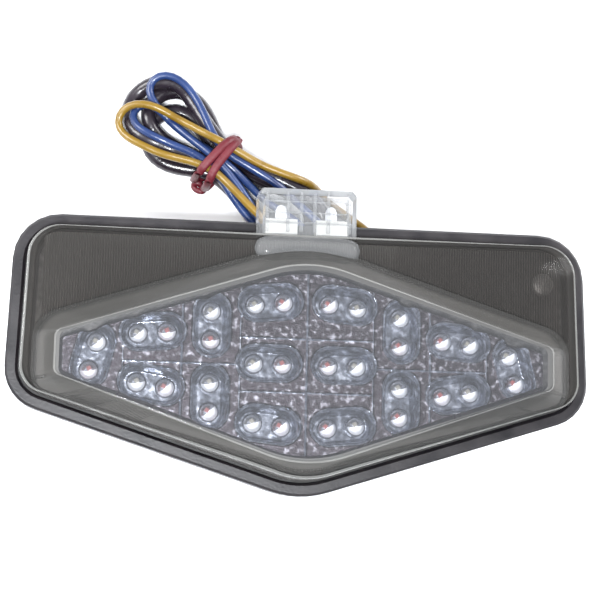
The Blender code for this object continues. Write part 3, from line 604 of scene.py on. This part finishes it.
def make_light():
    world = bpy.data.worlds.new("soft_room")
    world.use_nodes = True
    background = world.node_tree.nodes["Background"]
    background.inputs["Color"].default_value = (0.93, 0.95, 1.0, 1.0)
    background.inputs["Strength"].default_value = 0.60
    bpy.context.scene.world = world
    area_light("key", (-0.07, -0.13, 0.52), (0.0, 0.01, 0.02), 0.07, 4.6, (0.94, 0.97, 1.0))
    area_light("left_fill", (-0.60, 0.25, 0.45), (0.0, 0.0, 0.0), 0.35, 5.5)
    area_light("right_fill", (0.55, 0.35, 0.5), (0.0, 0.0, 0.0), 0.35, 5.5)
    bpy.context.scene.view_settings.view_transform = "Standard"


def make_floor():
    """A wide flat sheet just under the lamp."""
    floor = Shape()
    lines = [-FLOOR_HALF + 2 * FLOOR_HALF * step / FLOOR_STEPS for step in range(FLOOR_STEPS + 1)]
    rows = [floor.points([(x, y, FLOOR_Z) for x in lines]) for y in lines]
    for lower, upper in zip(rows, rows[1:]):
        for step in range(FLOOR_STEPS):
            floor.face((lower[step], lower[step + 1], upper[step + 1], upper[step]))
    mesh = bpy.data.meshes.new("floor")
    mesh.from_pydata([(x * MM, y * MM, z * MM) for x, y, z in floor.vertices], [], floor.faces)
    mesh.materials.append(LOOKS["floor"])
    piece = bpy.data.objects.new("floor", mesh)
    bpy.context.scene.collection.objects.link(piece)


# ---- wiring


RELAXING = 14  # rounds of easing for each millimetre of a cord's radius
HELD_PLACES = 6  # at each end of a route, where easing changes nothing
HANK_OUTER_END = Vector((-36.5, 69.5))
HANK_INNER_END = Vector((0.4, 40.2))
HANK_ALONG = (HANK_INNER_END - HANK_OUTER_END).normalized()
HANK_ACROSS = Vector((-HANK_ALONG.y, HANK_ALONG.x))
OUTER_FOLD = (
    (0.8, -0.66), (0.0, -1.0), (-0.72, -0.7), (-1.0, 0.0), (-0.72, 0.7), (0.0, 1.0), (0.8, 0.66),
)
INNER_FOLD = ((0.0, 1.0), (0.71, 0.71), (1.0, 0.0), (0.71, -0.71))
BAND_AT = 0.42 * (HANK_INNER_END - HANK_OUTER_END).length
BAND_WINDS = ((-1.1, 0.8), (1.1, -0.7))  # each wind's place along the hank, and its lean
BAND_RADIUS = 1.15
BAND_FLATNESS = 0.62
BAND_LOOP_RADIUS = 0.85
BAND_SIDE_ROOM = 3.0  # beyond the outermost cord's middle line
BAND_TOP_ROOM = 1.7
BAND_LOW_Z = 0.7


def in_hank(along, across):
    """A place in plan, from the hank's own axes."""
    place = HANK_OUTER_END + HANK_ALONG * along + HANK_ACROSS * across
    return (place.x, place.y)


def curve_through(points, step):
    """Places at about that step along a smooth curve through the points."""
    places = [np.array(point, float) for point in points]
    padded = [2 * places[0] - places[1]] + places + [2 * places[-1] - places[-2]]
    smooth = []
    for index in range(1, len(padded) - 2):
        before, here, there, after = padded[index - 1:index + 3]
        pieces = max(2, int(np.linalg.norm(there - here) / (step / 4)))
        for piece in range(pieces):
            share = piece / pieces
            bend = (
                2 * here + (there - before) * share
                + (2 * before - 5 * here + 4 * there - after) * share**2
                + (3 * here - before - 3 * there + after) * share**3
            )
            smooth.append(bend / 2)
    smooth.append(places[-1])
    line = np.array(smooth)
    along = distances(line)
    count = max(2, int(round(along[-1] / step)) + 1)
    wanted = np.linspace(0.0, along[-1], count)
    return np.column_stack([np.interp(wanted, along, line[:, axis]) for axis in range(line.shape[1])])


def relaxed(line, rounds, fixed):
    """Eases the line's kinks, with that many more places than the first and last held."""
    line = line.copy()
    for _ in range(rounds):
        middle = (line[:-2] + line[2:]) / 2
        moved = line[1:-1] * 0.5 + middle * 0.5
        line[1 + fixed:-1 - fixed] = moved[fixed:len(moved) - fixed]
    return line


def laid(start, plan, end, radius, others, step=1.0):
    """A cord's centreline: down from its exit, then resting on the surface or on what lies there.

    start and end are points with heights, plan holds places on the surface between them, and
    others are the (line, radius) pairs of the cords that are already there.
    """
    flat = [point[:2] for point in start] + list(plan) + [point[:2] for point in end]
    line = relaxed(curve_through(flat, step), int(RELAXING * radius), HELD_PLACES)
    heights = np.full(len(line), radius)
    fixed = held_heights(line, start, end)
    obstacles = [(other, radius + other_radius) for other, other_radius in others]
    skip = int(6 * radius / step)
    clear = 2 * radius
    for index in range(len(line)):
        for other, reach in obstacles:
            gaps = np.linalg.norm(other[:, :2] - line[index], axis=1)
            near = gaps < reach
            if near.any():
                top = other[near, 2] + np.sqrt(reach**2 - gaps[near] ** 2)
                heights[index] = max(heights[index], top.max())
        if index > skip:
            gaps = np.linalg.norm(line[:index - skip] - line[index], axis=1)
            near = gaps < clear
            if near.any():
                top = heights[:index - skip][near] + np.sqrt(clear**2 - gaps[near] ** 2)
                heights[index] = max(heights[index], top.max())
    return np.column_stack([line, eased(heights, fixed, step)])


def held_heights(line, start, end):
    """The height at each place near the two ends, where the points give one."""
    fixed = [None] * len(line)
    for points, first in ((start, True), (end, False)):
        places = np.array(points)
        along = distances(places[:, :2])
        count = int(along[-1])
        for number in range(count + 1):
            height = float(np.interp(number, along, places[:, 2]))
            index = number if first else len(line) - 1 - count + number
            fixed[index] = height
    return fixed


def eased(heights, fixed, step):
    """Turns steps in height into long low humps, with the heights near both ends held."""
    slope = CORD_STEEPEST * step
    raised = heights.copy()
    for _ in range(2):
        for index in range(1, len(raised)):
            raised[index] = max(raised[index], raised[index - 1] - slope)
        for index in range(len(raised) - 2, -1, -1):
            raised[index] = max(raised[index], raised[index + 1] - slope)
    half = len(raised) // 2
    for index, height in enumerate(fixed):
        if height is not None:
            raised[index] = height if index < half else max(height, min(raised[index], height + 3.0))
    soft = raised.copy()
    for _ in range(10):
        soft[1:-1] = (soft[:-2] + 2 * soft[1:-1] + soft[2:]) / 4
        soft[0] = raised[0]
    return soft


def make_cord(name, line, diameter, look, nodes):
    """A round cord along the line."""
    curve = bpy.data.curves.new(name, "CURVE")
    curve.dimensions = "3D"
    curve.bevel_depth = diameter / 2 * MM
    curve.bevel_resolution = 6
    curve.use_fill_caps = True
    spline = curve.splines.new("POLY")
    places = line[::2] if len(line) % 2 else np.vstack([line[::2], line[-1:]])
    spline.points.add(len(places) - 1)
    for point, place in zip(spline.points, places):
        point.co = (place[0] * MM, (place[1] + LAMP_Y) * MM, place[2] * MM, 1.0)
    spline.use_smooth = True
    curve.materials.append(look)
    piece = bpy.data.objects.new(name, curve)
    bpy.context.scene.collection.objects.link(piece)
    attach(piece, "root")
    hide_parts(*nodes)
    length = float(distances(places)[-1]) * MM


def turn_of_lead(outer_at, outer_radius, lean, out_across, inner_at, inner_radius):
    """One turn of the hank, from its outbound run round both folds.

    at and radius are a fold's place along the hank and its size, lean moves the outer fold
    across, and out_across spreads the outbound run near the inner fold.
    """
    places = [(40.0, -out_across - 0.4), (33.0, -out_across * 0.55 - 1.4), (26.0, -3.0)]
    places.append((BAND_AT, -2.45))
    for along, across in OUTER_FOLD:
        places.append((outer_at + outer_radius * along, lean + outer_radius * across))
    places += [(BAND_AT, 2.45), (26.0, 3.2), (33.0, 5.2), (40.0, 7.2)]
    for along, across in INNER_FOLD:
        places.append((inner_at + inner_radius * along, inner_radius * across))
    return [in_hank(*place) for place in places]


LEAD_START = (
    (21.6, 31.1, 11.5), (21.55, 32.8, 11.4), (20.5, 35.4, 9.8), (17.6, 36.6, 6.7),
    (13.8, 36.1, 3.8), (10.5, 35.4, 2.5),
)
LEAD_END = ((-8.6, 32.5, 5.0), (-12.4, 33.5, 3.2), (-15.0, 33.5, 3.2))
BLUE_START = (
    (17.0, 31.1, 11.5), (16.9, 32.2, 11.5), (15.9, 33.8, 11.4), (13.9, 34.9, 11.1), (11.0, 35.6, 10.4),
)
BLUE_PLAN = (
    (6.8, 38.2), (2.5, 43.2), (-4.6, 49.6), (-10.0, 52.6), (-16.0, 56.0), (-20.2, 58.3),
    (-24.0, 64.0), (-26.8, 71.0), (-31.0, 77.6), (-36.7, 80.6), (-40.9, 78.4), (-40.6, 74.0),
    (-36.0, 69.0), (-29.5, 63.0), (-24.0, 58.8), (-20.6, 56.3), (-14.0, 51.0), (-6.5, 45.0),
    (-0.5, 40.6), (2.6, 36.6), (0.4, 33.2), (-4.6, 33.6), (-10.0, 37.4), (-14.5, 42.2),
    (-18.6, 47.6), (-22.8, 53.6), (-29.0, 58.2), (-37.0, 61.4), (-43.0, 64.2), (-45.6, 67.6),
    (-44.0, 71.6), (-39.6, 71.6), (-34.0, 66.6), (-27.5, 60.6), (-21.8, 55.6), (-16.6, 49.6),
    (-12.2, 43.4), (-9.2, 38.0),
)
BLUE_END = ((-9.0, 34.6, 7.6), (-10.2, 32.4, 7.7), (-12.4, 31.9, 7.7), (-14.6, 31.9, 7.7))
YELLOW_START = (
    (25.6, 31.1, 11.5), (25.6, 32.6, 11.2), (25.0, 35.0, 8.6), (23.6, 37.4, 4.6), (21.6, 39.6, 1.9),
    (18.6, 42.2, 1.2), (13.6, 45.6, 1.15), (9.6, 48.2, 1.15), (6.2, 50.3, 1.3),
)
YELLOW_PLAN = (
    (-2.4, 52.7), (-8.0, 54.4), (-13.4, 56.6), (-19.0, 59.6), (-24.4, 62.2), (-30.8, 66.2),
    (-38.0, 70.2), (-44.0, 71.6), (-48.2, 70.0), (-49.3, 66.2), (-46.0, 62.0), (-38.0, 58.2),
    (-31.0, 56.0), (-24.0, 53.4), (-17.5, 47.8), (-12.5, 42.6), (-9.2, 40.0),
)
YELLOW_END = ((-8.2, 37.6, 7.6), (-9.6, 35.6, 7.7), (-12.4, 35.2, 7.7), (-14.6, 35.2, 7.7))


def make_wiring():
    """The three cords, laid one after the other."""
    plan = [(6.5, 35.3), (2.0, 35.8), (-2.4, 37.6)]
    plan += turn_of_lead(6.0, 8.3, -2.2, 4.2, 43.0, 8.3)
    plan += turn_of_lead(2.6, 8.4, 2.2, 6.6, 46.0, 8.2)
    plan += turn_of_lead(-0.9, 9.6, 0.0, 6.6, 47.1, 8.0)
    plan += [(-4.6, 31.7)]
    lead = laid(LEAD_START, plan, LEAD_END, LEAD_DIAMETER / 2, [])
    blue = laid(BLUE_START, BLUE_PLAN, BLUE_END, WIRE_DIAMETER / 2, [(lead, LEAD_DIAMETER / 2)])
    there = [(lead, LEAD_DIAMETER / 2), (blue, WIRE_DIAMETER / 2)]
    yellow = laid(YELLOW_START, YELLOW_PLAN, YELLOW_END, WIRE_DIAMETER / 2, there)
    band = make_band(lead, blue, yellow)
    make_cord(
        "lead_cord", lead, LEAD_DIAMETER, LOOKS["sleeve"],
        ("black_lead", "harness_hank"),
    )
    for colour, line, start in (("blue", blue, BLUE_START), ("yellow", yellow, YELLOW_START)):
        make_cord(
            colour + "_cord", line, WIRE_DIAMETER, LOOKS[colour],
            (colour + "_wire",),
        )


def make_band(*lines):
    """A rubber band wound twice round the hank's waist, with a small loop standing out at each side."""
    middle = Vector(in_hank(BAND_AT, 0.0))
    sides = []
    top = 0.0
    for line in lines:
        for place in line:
            offset = Vector(place[:2]) - middle
            if abs(offset.dot(HANK_ALONG)) < 2.5 and abs(offset.dot(HANK_ACROSS)) < 9.0:
                sides.append(offset.dot(HANK_ACROSS))
                top = max(top, float(place[2]))
    low, high = min(sides) - BAND_SIDE_ROOM, max(sides) + BAND_SIDE_ROOM
    top += BAND_TOP_ROOM
    band = Shape()
    for wind, lean in BAND_WINDS:
        path = []
        for index in range(48):
            angle = math.tau * index / 48
            across = (low + high) / 2 + (high - low) / 2 * squared(math.cos(angle))
            rise = (top - BAND_LOW_Z) / 2 * squared(math.sin(angle))
            height = (top + BAND_LOW_Z) / 2 + rise
            along = wind + lean * math.cos(angle) + 0.25 * math.sin(3 * angle)
            place = middle + HANK_ALONG * along + HANK_ACROSS * across
            path.append((place.x, place.y, max(0.75, height)))
        band.tube(path, BAND_RADIUS, 10, True, squash=BAND_FLATNESS)
    for side in (-1, 1):
        path = []
        base = high if side > 0 else -low
        for index in range(20):
            angle = math.tau * index / 20
            across = side * (base + 0.2 + 0.9 * math.cos(angle))
            place = middle + HANK_ALONG * (1.5 * math.sin(angle)) + HANK_ACROSS * across
            path.append((place.x, place.y, 3.0 + 0.5 * math.sin(2 * angle)))
        band.tube(path, BAND_LOOP_RADIUS, 10, True)
    piece = band.make("red_rubber_band", [LOOKS["band"]], 80.0)
    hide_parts("rubber_band")
    return piece


def squared(value):
    """A cosine or sine pushed out, so that a circle becomes a rounded box."""
    return math.copysign(abs(value) ** 0.55, value)


# ---- lens


def lens_rays():
    """Directions at equal steps round the lens's wall, and how far its outlines are along them."""
    wall = flange_outline(LENS_INSET)
    count = int(round(distances(closed_ring(wall))[-1] / FLUTE_PITCH)) * STEPS_PER_FLUTE
    places = spaced(wall, count)
    reach = np.linalg.norm(places, axis=1)
    directions = places / reach[:, None]
    window = reach_at(window_outline(0.0), directions)
    foot = reach_at(window_outline(-FLANK_WIDTH), directions)
    return directions, reach, window, foot


def lens_height(reach, window, foot):
    """The height of the lens's outer face at a distance from the middle."""
    share = np.clip((reach - window) / (foot - window), 0.0, 1.0)
    return WINDOW_Z - (WINDOW_Z - PANEL_Z) * share


def make_lens():
    """The clear shell: its outer face, then its inner one, from the foot up to the window."""
    directions, wall, window, foot = lens_rays()
    lens = Shape()
    flute = np.abs((np.arange(len(wall)) % STEPS_PER_FLUTE) / STEPS_PER_FLUTE - 0.5) * 2
    top = lens_height(wall - 0.7, window, foot)
    edge = np.minimum(foot, wall - 0.9)

    def ring(reach, height):
        return lens.ring(directions * np.asarray(reach)[:, None], height)

    rim = ring(wall, np.full(len(wall), LENS_FOOT_Z))
    # the rings marked 4 get the edge look: a painted highlight line on the wall's top fillet and round
    # the window
    outer = [
        (rim, None),
        (ring(wall, top - 0.8), 1), (ring(wall - 0.2, top - 0.25), 4), (ring(wall - 0.7, top), 4),
        (ring(edge, lens_height(edge, window, foot)), 2),
        (ring(window + 0.35, np.full(len(wall), WINDOW_Z - 0.4)), 3),
        (ring(window - 0.1, np.full(len(wall), WINDOW_Z - 0.06)), 4),
        (ring(window - 0.6, np.full(len(wall), WINDOW_Z)), 0),
    ]
    for (lower, _), (upper, mark) in zip(outer, outer[1:]):
        lens.join(lower, upper, mark)
    cap(lens, directions, window - 0.6, outer[-1][0], WINDOW_Z)
    inside = wall - LENS_WALL + 0.3 * flute
    under = lens_height(wall - LENS_WALL, window, foot) - LENS_WALL
    inner_edge = np.minimum(foot - 1.0, inside - 0.5)
    inner = [
        (rim, None),
        (ring(inside, np.full(len(wall), LENS_FOOT_Z)), 1), (ring(inside, under - 0.5), 1),
        (ring(inner_edge, lens_height(inner_edge + 1.0, window, foot) - LENS_WALL), 2),
        (ring(window - 0.9, np.full(len(wall), WINDOW_Z - LENS_WALL)), 3),
    ]
    for (lower, _), (upper, mark) in zip(inner, inner[1:]):
        lens.join(lower, upper, mark)
    cap(lens, directions, window - 0.9, inner[-1][0], WINDOW_Z - LENS_WALL)
    looks = [LOOKS["window"], LOOKS["side"], LOOKS["panel"], LOOKS["flank"], LOOKS["edge"]]
    piece = lens.make("clear_lens", looks, 28.0)
    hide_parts("outer_lens")


def cap(shape, directions, reach, ring, height):
    """Closes a ring of the window with rings that thin out towards the middle."""
    for share in (0.66, 0.33):
        upper = shape.ring(directions * (reach * share)[:, None], height)
        shape.join(ring, upper, 0)
        ring = upper
    middle = shape.points([(0.0, 0.0, height)])[0]
    for index in range(len(ring)):
        shape.face((ring[index], ring[(index + 1) % len(ring)], middle), 0)


def make_flutes():
    """Fine upright flutes under the lens's flat top corners and along its top band."""
    foot = window_outline(-FLANK_WIDTH + 0.6)
    wall = flange_outline(LENS_INSET + LENS_WALL - 0.4)
    flutes = Shape()
    pitch = FLUTE_PITCH / STEPS_PER_FLUTE
    half = int(66.0 / pitch)
    columns = []
    high = PANEL_Z - LENS_WALL + 0.1
    for step in range(-half, half + 1):
        x = step * pitch
        low_y = branch_y(foot, x, True)
        high_y = branch_y(wall, x, True)
        wave = abs((step % STEPS_PER_FLUTE) / STEPS_PER_FLUTE - 0.5) * 2
        z = high - 0.15 - FLUTE_DEPTH * wave
        corners = ((x, low_y, z), (x, high_y, z), (x, high_y, high), (x, low_y, high))
        columns.append(flutes.points(corners))
    for left, right in zip(columns, columns[1:]):
        flutes.join(left, right)
    flutes.face(columns[0][::-1])
    flutes.face(columns[-1])
    flutes.make("lens_flutes", [LOOKS["panel"]], 20.0)


def mirrored(points):
    """The points, then their mirror images from the last to the first."""
    return points + [(-x, y) for x, y in reversed(points)]


def make_plate_window():
    """The box of the lens that lights the number plate, with ribs on its top face."""
    tab = Shape()
    rim = mirrored([(12.6, 32.6), (12.6, 43.6), (11.4, 44.8)])
    inner = mirrored([(10.8, 32.6), (10.8, 42.8), (10.4, 43.2)])
    low = tab.ring(rim, LENS_FOOT_Z)
    middle = tab.ring(rim, TAB_EDGE_Z)
    eased_rim = [(x * 0.965, y - 0.4 if y > 40 else y) for x, y in rim]
    shoulder = tab.ring(eased_rim, TAB_EDGE_Z + TAB_CHAMFER)
    low_inside = tab.ring(inner, LENS_FOOT_Z)
    high_inside = tab.ring(inner, 30.9)
    tab.join(low, middle)
    tab.join(middle, shoulder)
    tab.face(shoulder)
    tab.join(low, low_inside)
    tab.join(low_inside, high_inside)
    tab.face(high_inside)
    for x in (-10.9, -5.6, -2.1, 1.3, 4.8, 10.1):
        tab.box((x, 33.4, TAB_RIB_FOOT_Z), (x + TAB_RIB_WIDTH, 43.9, 33.1))
    for y in (35.6, 38.2, 41.0):
        tab.box((-11.2, y, TAB_RIB_FOOT_Z), (11.2, y + 0.45, 32.95))
    tab.make("plate_window", [LOOKS["tab"]], 30.0)


def make_lens_bulge():
    """The bulge of the lens in front of the plate window, thinner at its ends."""
    bulge = Shape()
    middle_y, middle_z = BULGE_MIDDLE
    rings = []
    for step in range(-20, 21):
        share = step / 20
        x = BULGE_LENGTH / 2 * share
        swell = math.sqrt(max(0.0, 1.0 - share**8))
        ring = []
        for side in range(17):
            angle = math.pi * side / 16
            y = middle_y - 3.2 * math.cos(angle) * swell
            ring.append((x, y, middle_z + 2.0 * math.sin(angle) * swell))
        rings.append(bulge.points(ring))
    for left, right in zip(rings, rings[1:]):
        bulge.join(left, right)
    bulge.face(rings[0])
    bulge.face(rings[-1][::-1])
    bulge.make("plate_lens_bulge", [LOOKS["tab"]], 40.0)


# ---- reflector and lights


def led_places():
    """Each LED's node with the middle of its box, in the lamp's own frame."""
    places = {}
    for node in sorted(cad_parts):
        if node.startswith("led_") and node != "led_board":
            low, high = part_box(node)
            x = (low[0] + high[0]) / 2 / MM
            y = (low[1] + high[1]) / 2 / MM - LAMP_Y
            places[node] = (x, y, low[2] / MM)
    return places


def smooth_step(value):
    value = max(0.0, min(1.0, value))
    return value * value * (3 - 2 * value)


def paired(places):
    """Pairs each LED with its nearest neighbour, because the two share one pocket."""
    left = [place[:2] for place in places]
    pairs = []
    while left:
        first = left.pop(0)
        second = min(left, key=lambda other: math.dist(first, other))
        left.remove(second)
        pairs.append((first, second))
    return pairs


def pair_distance(x, y, pair):
    """How far a place is from the line between two LEDs."""
    (ax, ay), (bx, by) = pair
    along = ((x - ax) * (bx - ax) + (y - ay) * (by - ay)) / ((bx - ax) ** 2 + (by - ay) ** 2)
    along = max(0.0, min(1.0, along))
    return math.hypot(x - ax - along * (bx - ax), y - ay - along * (by - ay))


def rungs_at(side):
    """Where the crosswise ridges are at a distance from the middle line."""
    if side < RIDGES[1]:
        return (5.6, -7.9)
    if side < RIDGES[3]:
        return (-1.3,)
    return ()


def reflector_height(x, y, lights):
    """The metallised face: flat between the pockets, with raised rims and dividing ridges."""
    z = REFLECTOR_TOP_Z - 0.5
    side = abs(x)
    for line in RIDGES:
        z += 0.2 * max(0.0, 1.0 - abs(side - line) / RIDGE_HALF)
    for line in rungs_at(side):
        z += 0.2 * max(0.0, 1.0 - abs(y - line) / RIDGE_HALF)
    nearest = min(pair_distance(x, y, pair) for pair in lights)
    if nearest > POCKET_RADIUS:
        z += 0.45 * max(0.0, 1.0 - abs(nearest - POCKET_RADIUS - RIM_WIDTH / 2) / (RIM_WIDTH / 2))
        return z
    share = (nearest - POCKET_FLOOR_RADIUS) / (POCKET_RADIUS - POCKET_FLOOR_RADIUS)
    return POCKET_FLOOR_Z + (z - POCKET_FLOOR_Z) * smooth_step(share)


def takes_painted_highlight(place, pairs):
    """True on a pocket's wall, floor and raised rim, and on a ridge, which take the painted highlight.
    """
    x, y, _ = place
    side = abs(x)
    if any(abs(side - line) < RIDGE_HALF for line in RIDGES):
        return True
    if any(abs(y - line) < RIDGE_HALF for line in rungs_at(side)):
        return True
    near = [pair for pair in pairs if abs(pair[0][0] - x) < PAIR_REACH]
    return any(pair_distance(x, y, pair) < POCKET_RADIUS + RIM_WIDTH for pair in near)


def make_reflector(lights):
    """The metallised face as a fine grid inside the window's outline, with its sides and back."""
    outline = window_outline(REFLECTOR_INSET)
    half = WINDOW_CORNERS[0][0] - REFLECTOR_INSET - 0.02
    face = Shape()
    grid = []
    for column in range(REFLECTOR_COLUMNS + 1):
        x = -half + 2 * half * column / REFLECTOR_COLUMNS
        low_y = branch_y(outline, x, False)
        high_y = branch_y(outline, x, True)
        near = [pair for pair in lights if abs(pair[0][0] - x) < PAIR_REACH] or lights
        line = []
        for row in range(REFLECTOR_ROWS + 1):
            y = low_y + (high_y - low_y) * row / REFLECTOR_ROWS
            line.append((x, y, reflector_height(x, y, near)))
        grid.append(face.points(line))
    # faces wholly on a pocket, rim or ridge take the brighter metal: a painted highlight
    bright = {index for index, place in enumerate(face.vertices) if takes_painted_highlight(place, lights)}
    for left, right in zip(grid, grid[1:]):
        for row in range(REFLECTOR_ROWS):
            corners = (left[row], right[row], right[row + 1], left[row + 1])
            face.face(corners, 1 if bright.issuperset(corners) else 0)
    edge = [column[0] for column in grid] + grid[-1][1:]
    edge += [column[-1] for column in reversed(grid[:-1])] + grid[0][-2:0:-1]
    add_skirt(face, edge)
    looks = [LOOKS["reflector"], LOOKS["pocket"], LOOKS["surround"]]
    piece = face.make("metal_reflector", looks, 50.0)
    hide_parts("reflector")


def add_skirt(face, edge):
    """The reflector's sides, its flat surround and its back."""
    places = np.array([face.vertices[index][:2] for index in edge])
    reach = np.linalg.norm(places, axis=1)
    directions = places / reach[:, None]
    wall = reach_at(flange_outline(LENS_INSET + LENS_WALL + 0.9), directions)
    flare = np.minimum(reach + 2.0, wall - 0.2)
    foot = face.ring(directions * flare[:, None], REFLECTOR_PANEL_Z)
    outer = face.ring(directions * wall[:, None], REFLECTOR_PANEL_Z)
    under = face.ring(directions * wall[:, None], REFLECTOR_PANEL_Z - 1.1)
    face.join(edge, foot)
    # the surround, its outer side and its back take the darkest metal: painted shade
    face.join(foot, outer, 2)
    face.join(outer, under, 2)
    face.face(under[::-1], 2)


def led_mesh(name, chip):
    """A round LED: clear body with a dome, a cup with painted highlight and painted shade, chip and
    legs.
    """
    led = Shape()
    body = [
        (0.0, 0.0), (LED_FLANGE_RADIUS, 0.0), (LED_FLANGE_RADIUS, 1.0), (LED_RADIUS, 1.05),
        (LED_RADIUS, LED_BODY_HEIGHT),
    ]
    for step in range(1, LED_DOME_STEPS):
        angle = math.pi / 2 * step / LED_DOME_STEPS
        height = LED_BODY_HEIGHT + LED_RADIUS * math.sin(angle)
        body.append((LED_RADIUS * math.cos(angle), height))
    body.append((0.0, LED_BODY_HEIGHT + LED_RADIUS))
    led.turned(body, (0, 0, 0), 32, 0)
    # faces on the dome's shoulder take the darker epoxy: a painted dark ring
    for index, face in enumerate(led.faces):
        x, y, z = led.middle_of(face)
        if z > 6.0 and math.hypot(x, y) > 2.16:
            led.marks[index] = 3
    cup = [(0.0, 3.2), (1.0, 3.2), (2.3, 5.3), (2.2, 5.5), (0.9, 4.0), (0.0, 4.0)]
    first = len(led.faces)
    led.turned(cup, (0, 0, 0), 24, 1)
    # one side of the cup takes the bright, glowing look and the other the dark one: painted highlight
    # and painted shade
    for index in range(first, len(led.faces)):
        x, y, _ = led.middle_of(led.faces[index])
        led.marks[index] = 1 if y < 0.2 + 0.5 * x else 4
    led.turned([(0.0, 4.1), (0.8, 4.1), (0.7, 4.9), (0.0, 4.9)], (-0.1, 0.75, 0), 4, 2)
    # the legs take the painted-highlight look with its glow
    led.box((-0.6, -0.25, 0.2), (0.5, 0.25, 3.5), 1)
    led.box((0.9, -0.25, 0.2), (1.4, 0.25, 4.0), 1)
    looks = [LOOKS["epoxy"], LOOKS["cup"], LOOKS[chip], LOOKS["epoxy_painted_dark_rim"], LOOKS["cup_painted_shade"]]
    return led.make(name, looks, 40.0, 0.0)


def make_leds(places):
    """One mesh for each colour, placed at each LED's node."""
    meshes = {}
    for node, (x, y, base) in places.items():
        colour = "red" if node.endswith("red") else "amber"
        if colour not in meshes:
            piece = led_mesh("light_" + node, colour + "_chip")
            meshes[colour] = piece.data
        else:
            piece = bpy.data.objects.new("light_" + node, meshes[colour])
            bpy.context.scene.collection.objects.link(piece)
            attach(piece, "root")
        number = int(node.split("_")[1])
        spin = Matrix.Rotation(math.radians(18.0 * math.sin(2.4 * number)), 4, "Z")
        piece.matrix_world = Matrix.Translation(Vector((x, y + LAMP_Y, base)) * MM) @ spin
        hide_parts(node)


# ---- housing and small pieces


def make_back_details():
    """Stiffening ribs and round ejector marks, moulded on the housing's back wall."""
    back = Shape()
    for x in (-56.0, -44.0, -18.0, -6.0, 6.0, 18.0, 44.0, 56.0):
        reach = 22.0 if abs(x) < 40 else 12.0
        back.box((x - 0.5, -reach * 0.7, 3.1), (x + 0.5, reach, BACK_WALL_Z + 0.1))
    for y in (-8.0, 12.0):
        for low, high in ((-60.0, -41.0), (-23.0, 23.0), (41.0, 60.0)):
            back.box((low, y - 0.5, 3.3), (high, y + 0.5, BACK_WALL_Z + 0.1))
    mark = [(0.0, -0.5), (2.2, -0.5), (2.4, -0.3), (2.4, 0.1), (0.0, 0.1)]
    for x, y in ((-50.0, 18.0), (50.0, 18.0), (-12.0, -16.0), (12.0, -16.0), (0.0, 19.0)):
        back.turned(mark, (x, y, BACK_WALL_Z), 24)
    back.make("housing_back_ribs", [LOOKS["housing"]], 30.0)


def make_screws():
    """Pan-head screws with a cross recess, in place of the plain ones."""
    for node in sorted(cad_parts):
        if "_screw_" not in node:
            continue
        low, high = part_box(node)
        x = (low[0] + high[0]) / 2 / MM
        y = (low[1] + high[1]) / 2 / MM - LAMP_Y
        wide = (high[0] - low[0]) / 2 / MM
        top, foot = high[2] / MM, low[2] / MM
        screw = Shape()
        sides = 32
        arms = [1.0 if side % 8 in (7, 0, 1) else 0.42 for side in range(sides)]
        profile = [
            (0.0, foot - top), (SCREW_SHANK_RADIUS, foot - top),
            (SCREW_SHANK_RADIUS, -SCREW_HEAD_HEIGHT), (wide, -SCREW_HEAD_HEIGHT), (wide, -0.9),
            (wide * 0.93, -0.45), (wide * 0.75, -0.12), (wide * 0.62, 0.0),
        ]
        screw.turned(profile, (x, y, top), sides)
        ring = screw.ends[-1]
        for share, depth in ((0.55, 0.0), (0.45, -0.9)):
            upper = screw.points(circle(x, y, top + depth, [wide * share * arm for arm in arms]))
            screw.join(ring, upper)
            ring = upper
        screw.face(ring)
        piece = screw.make("detailed_" + node, [LOOKS["steel"]], 30.0)
        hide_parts(node)


def dress_nodes():
    """Gives each CAD node that shows as it is its own material."""
    dress("rear_housing", LOOKS["housing"])
    dress("led_board", LOOKS["board"])
    dress("lead_connector", LOOKS["white"])
    for node in ("lens_seal", "wire_grommet"):
        dress(node, LOOKS["rubber"])
    for side in ("left", "right"):
        dress("mounting_insert_" + side, LOOKS["brass"])
        dress("plate_lamp_holder_" + side, LOOKS["white"])
        # the plate LEDs take the cup look with its painted glow
        dress("plate_led_" + side, LOOKS["cup"])
    for colour in ("blue", "yellow"):
        dress(colour + "_bullet_terminal", LOOKS["brass"])


make_camera()
make_light()
make_floor()
make_wiring()
make_lens()
make_flutes()
make_plate_window()
make_lens_bulge()
lights = led_places()
make_reflector(paired(list(lights.values())))
make_leds(lights)
make_screws()
make_back_details()
dress_nodes()
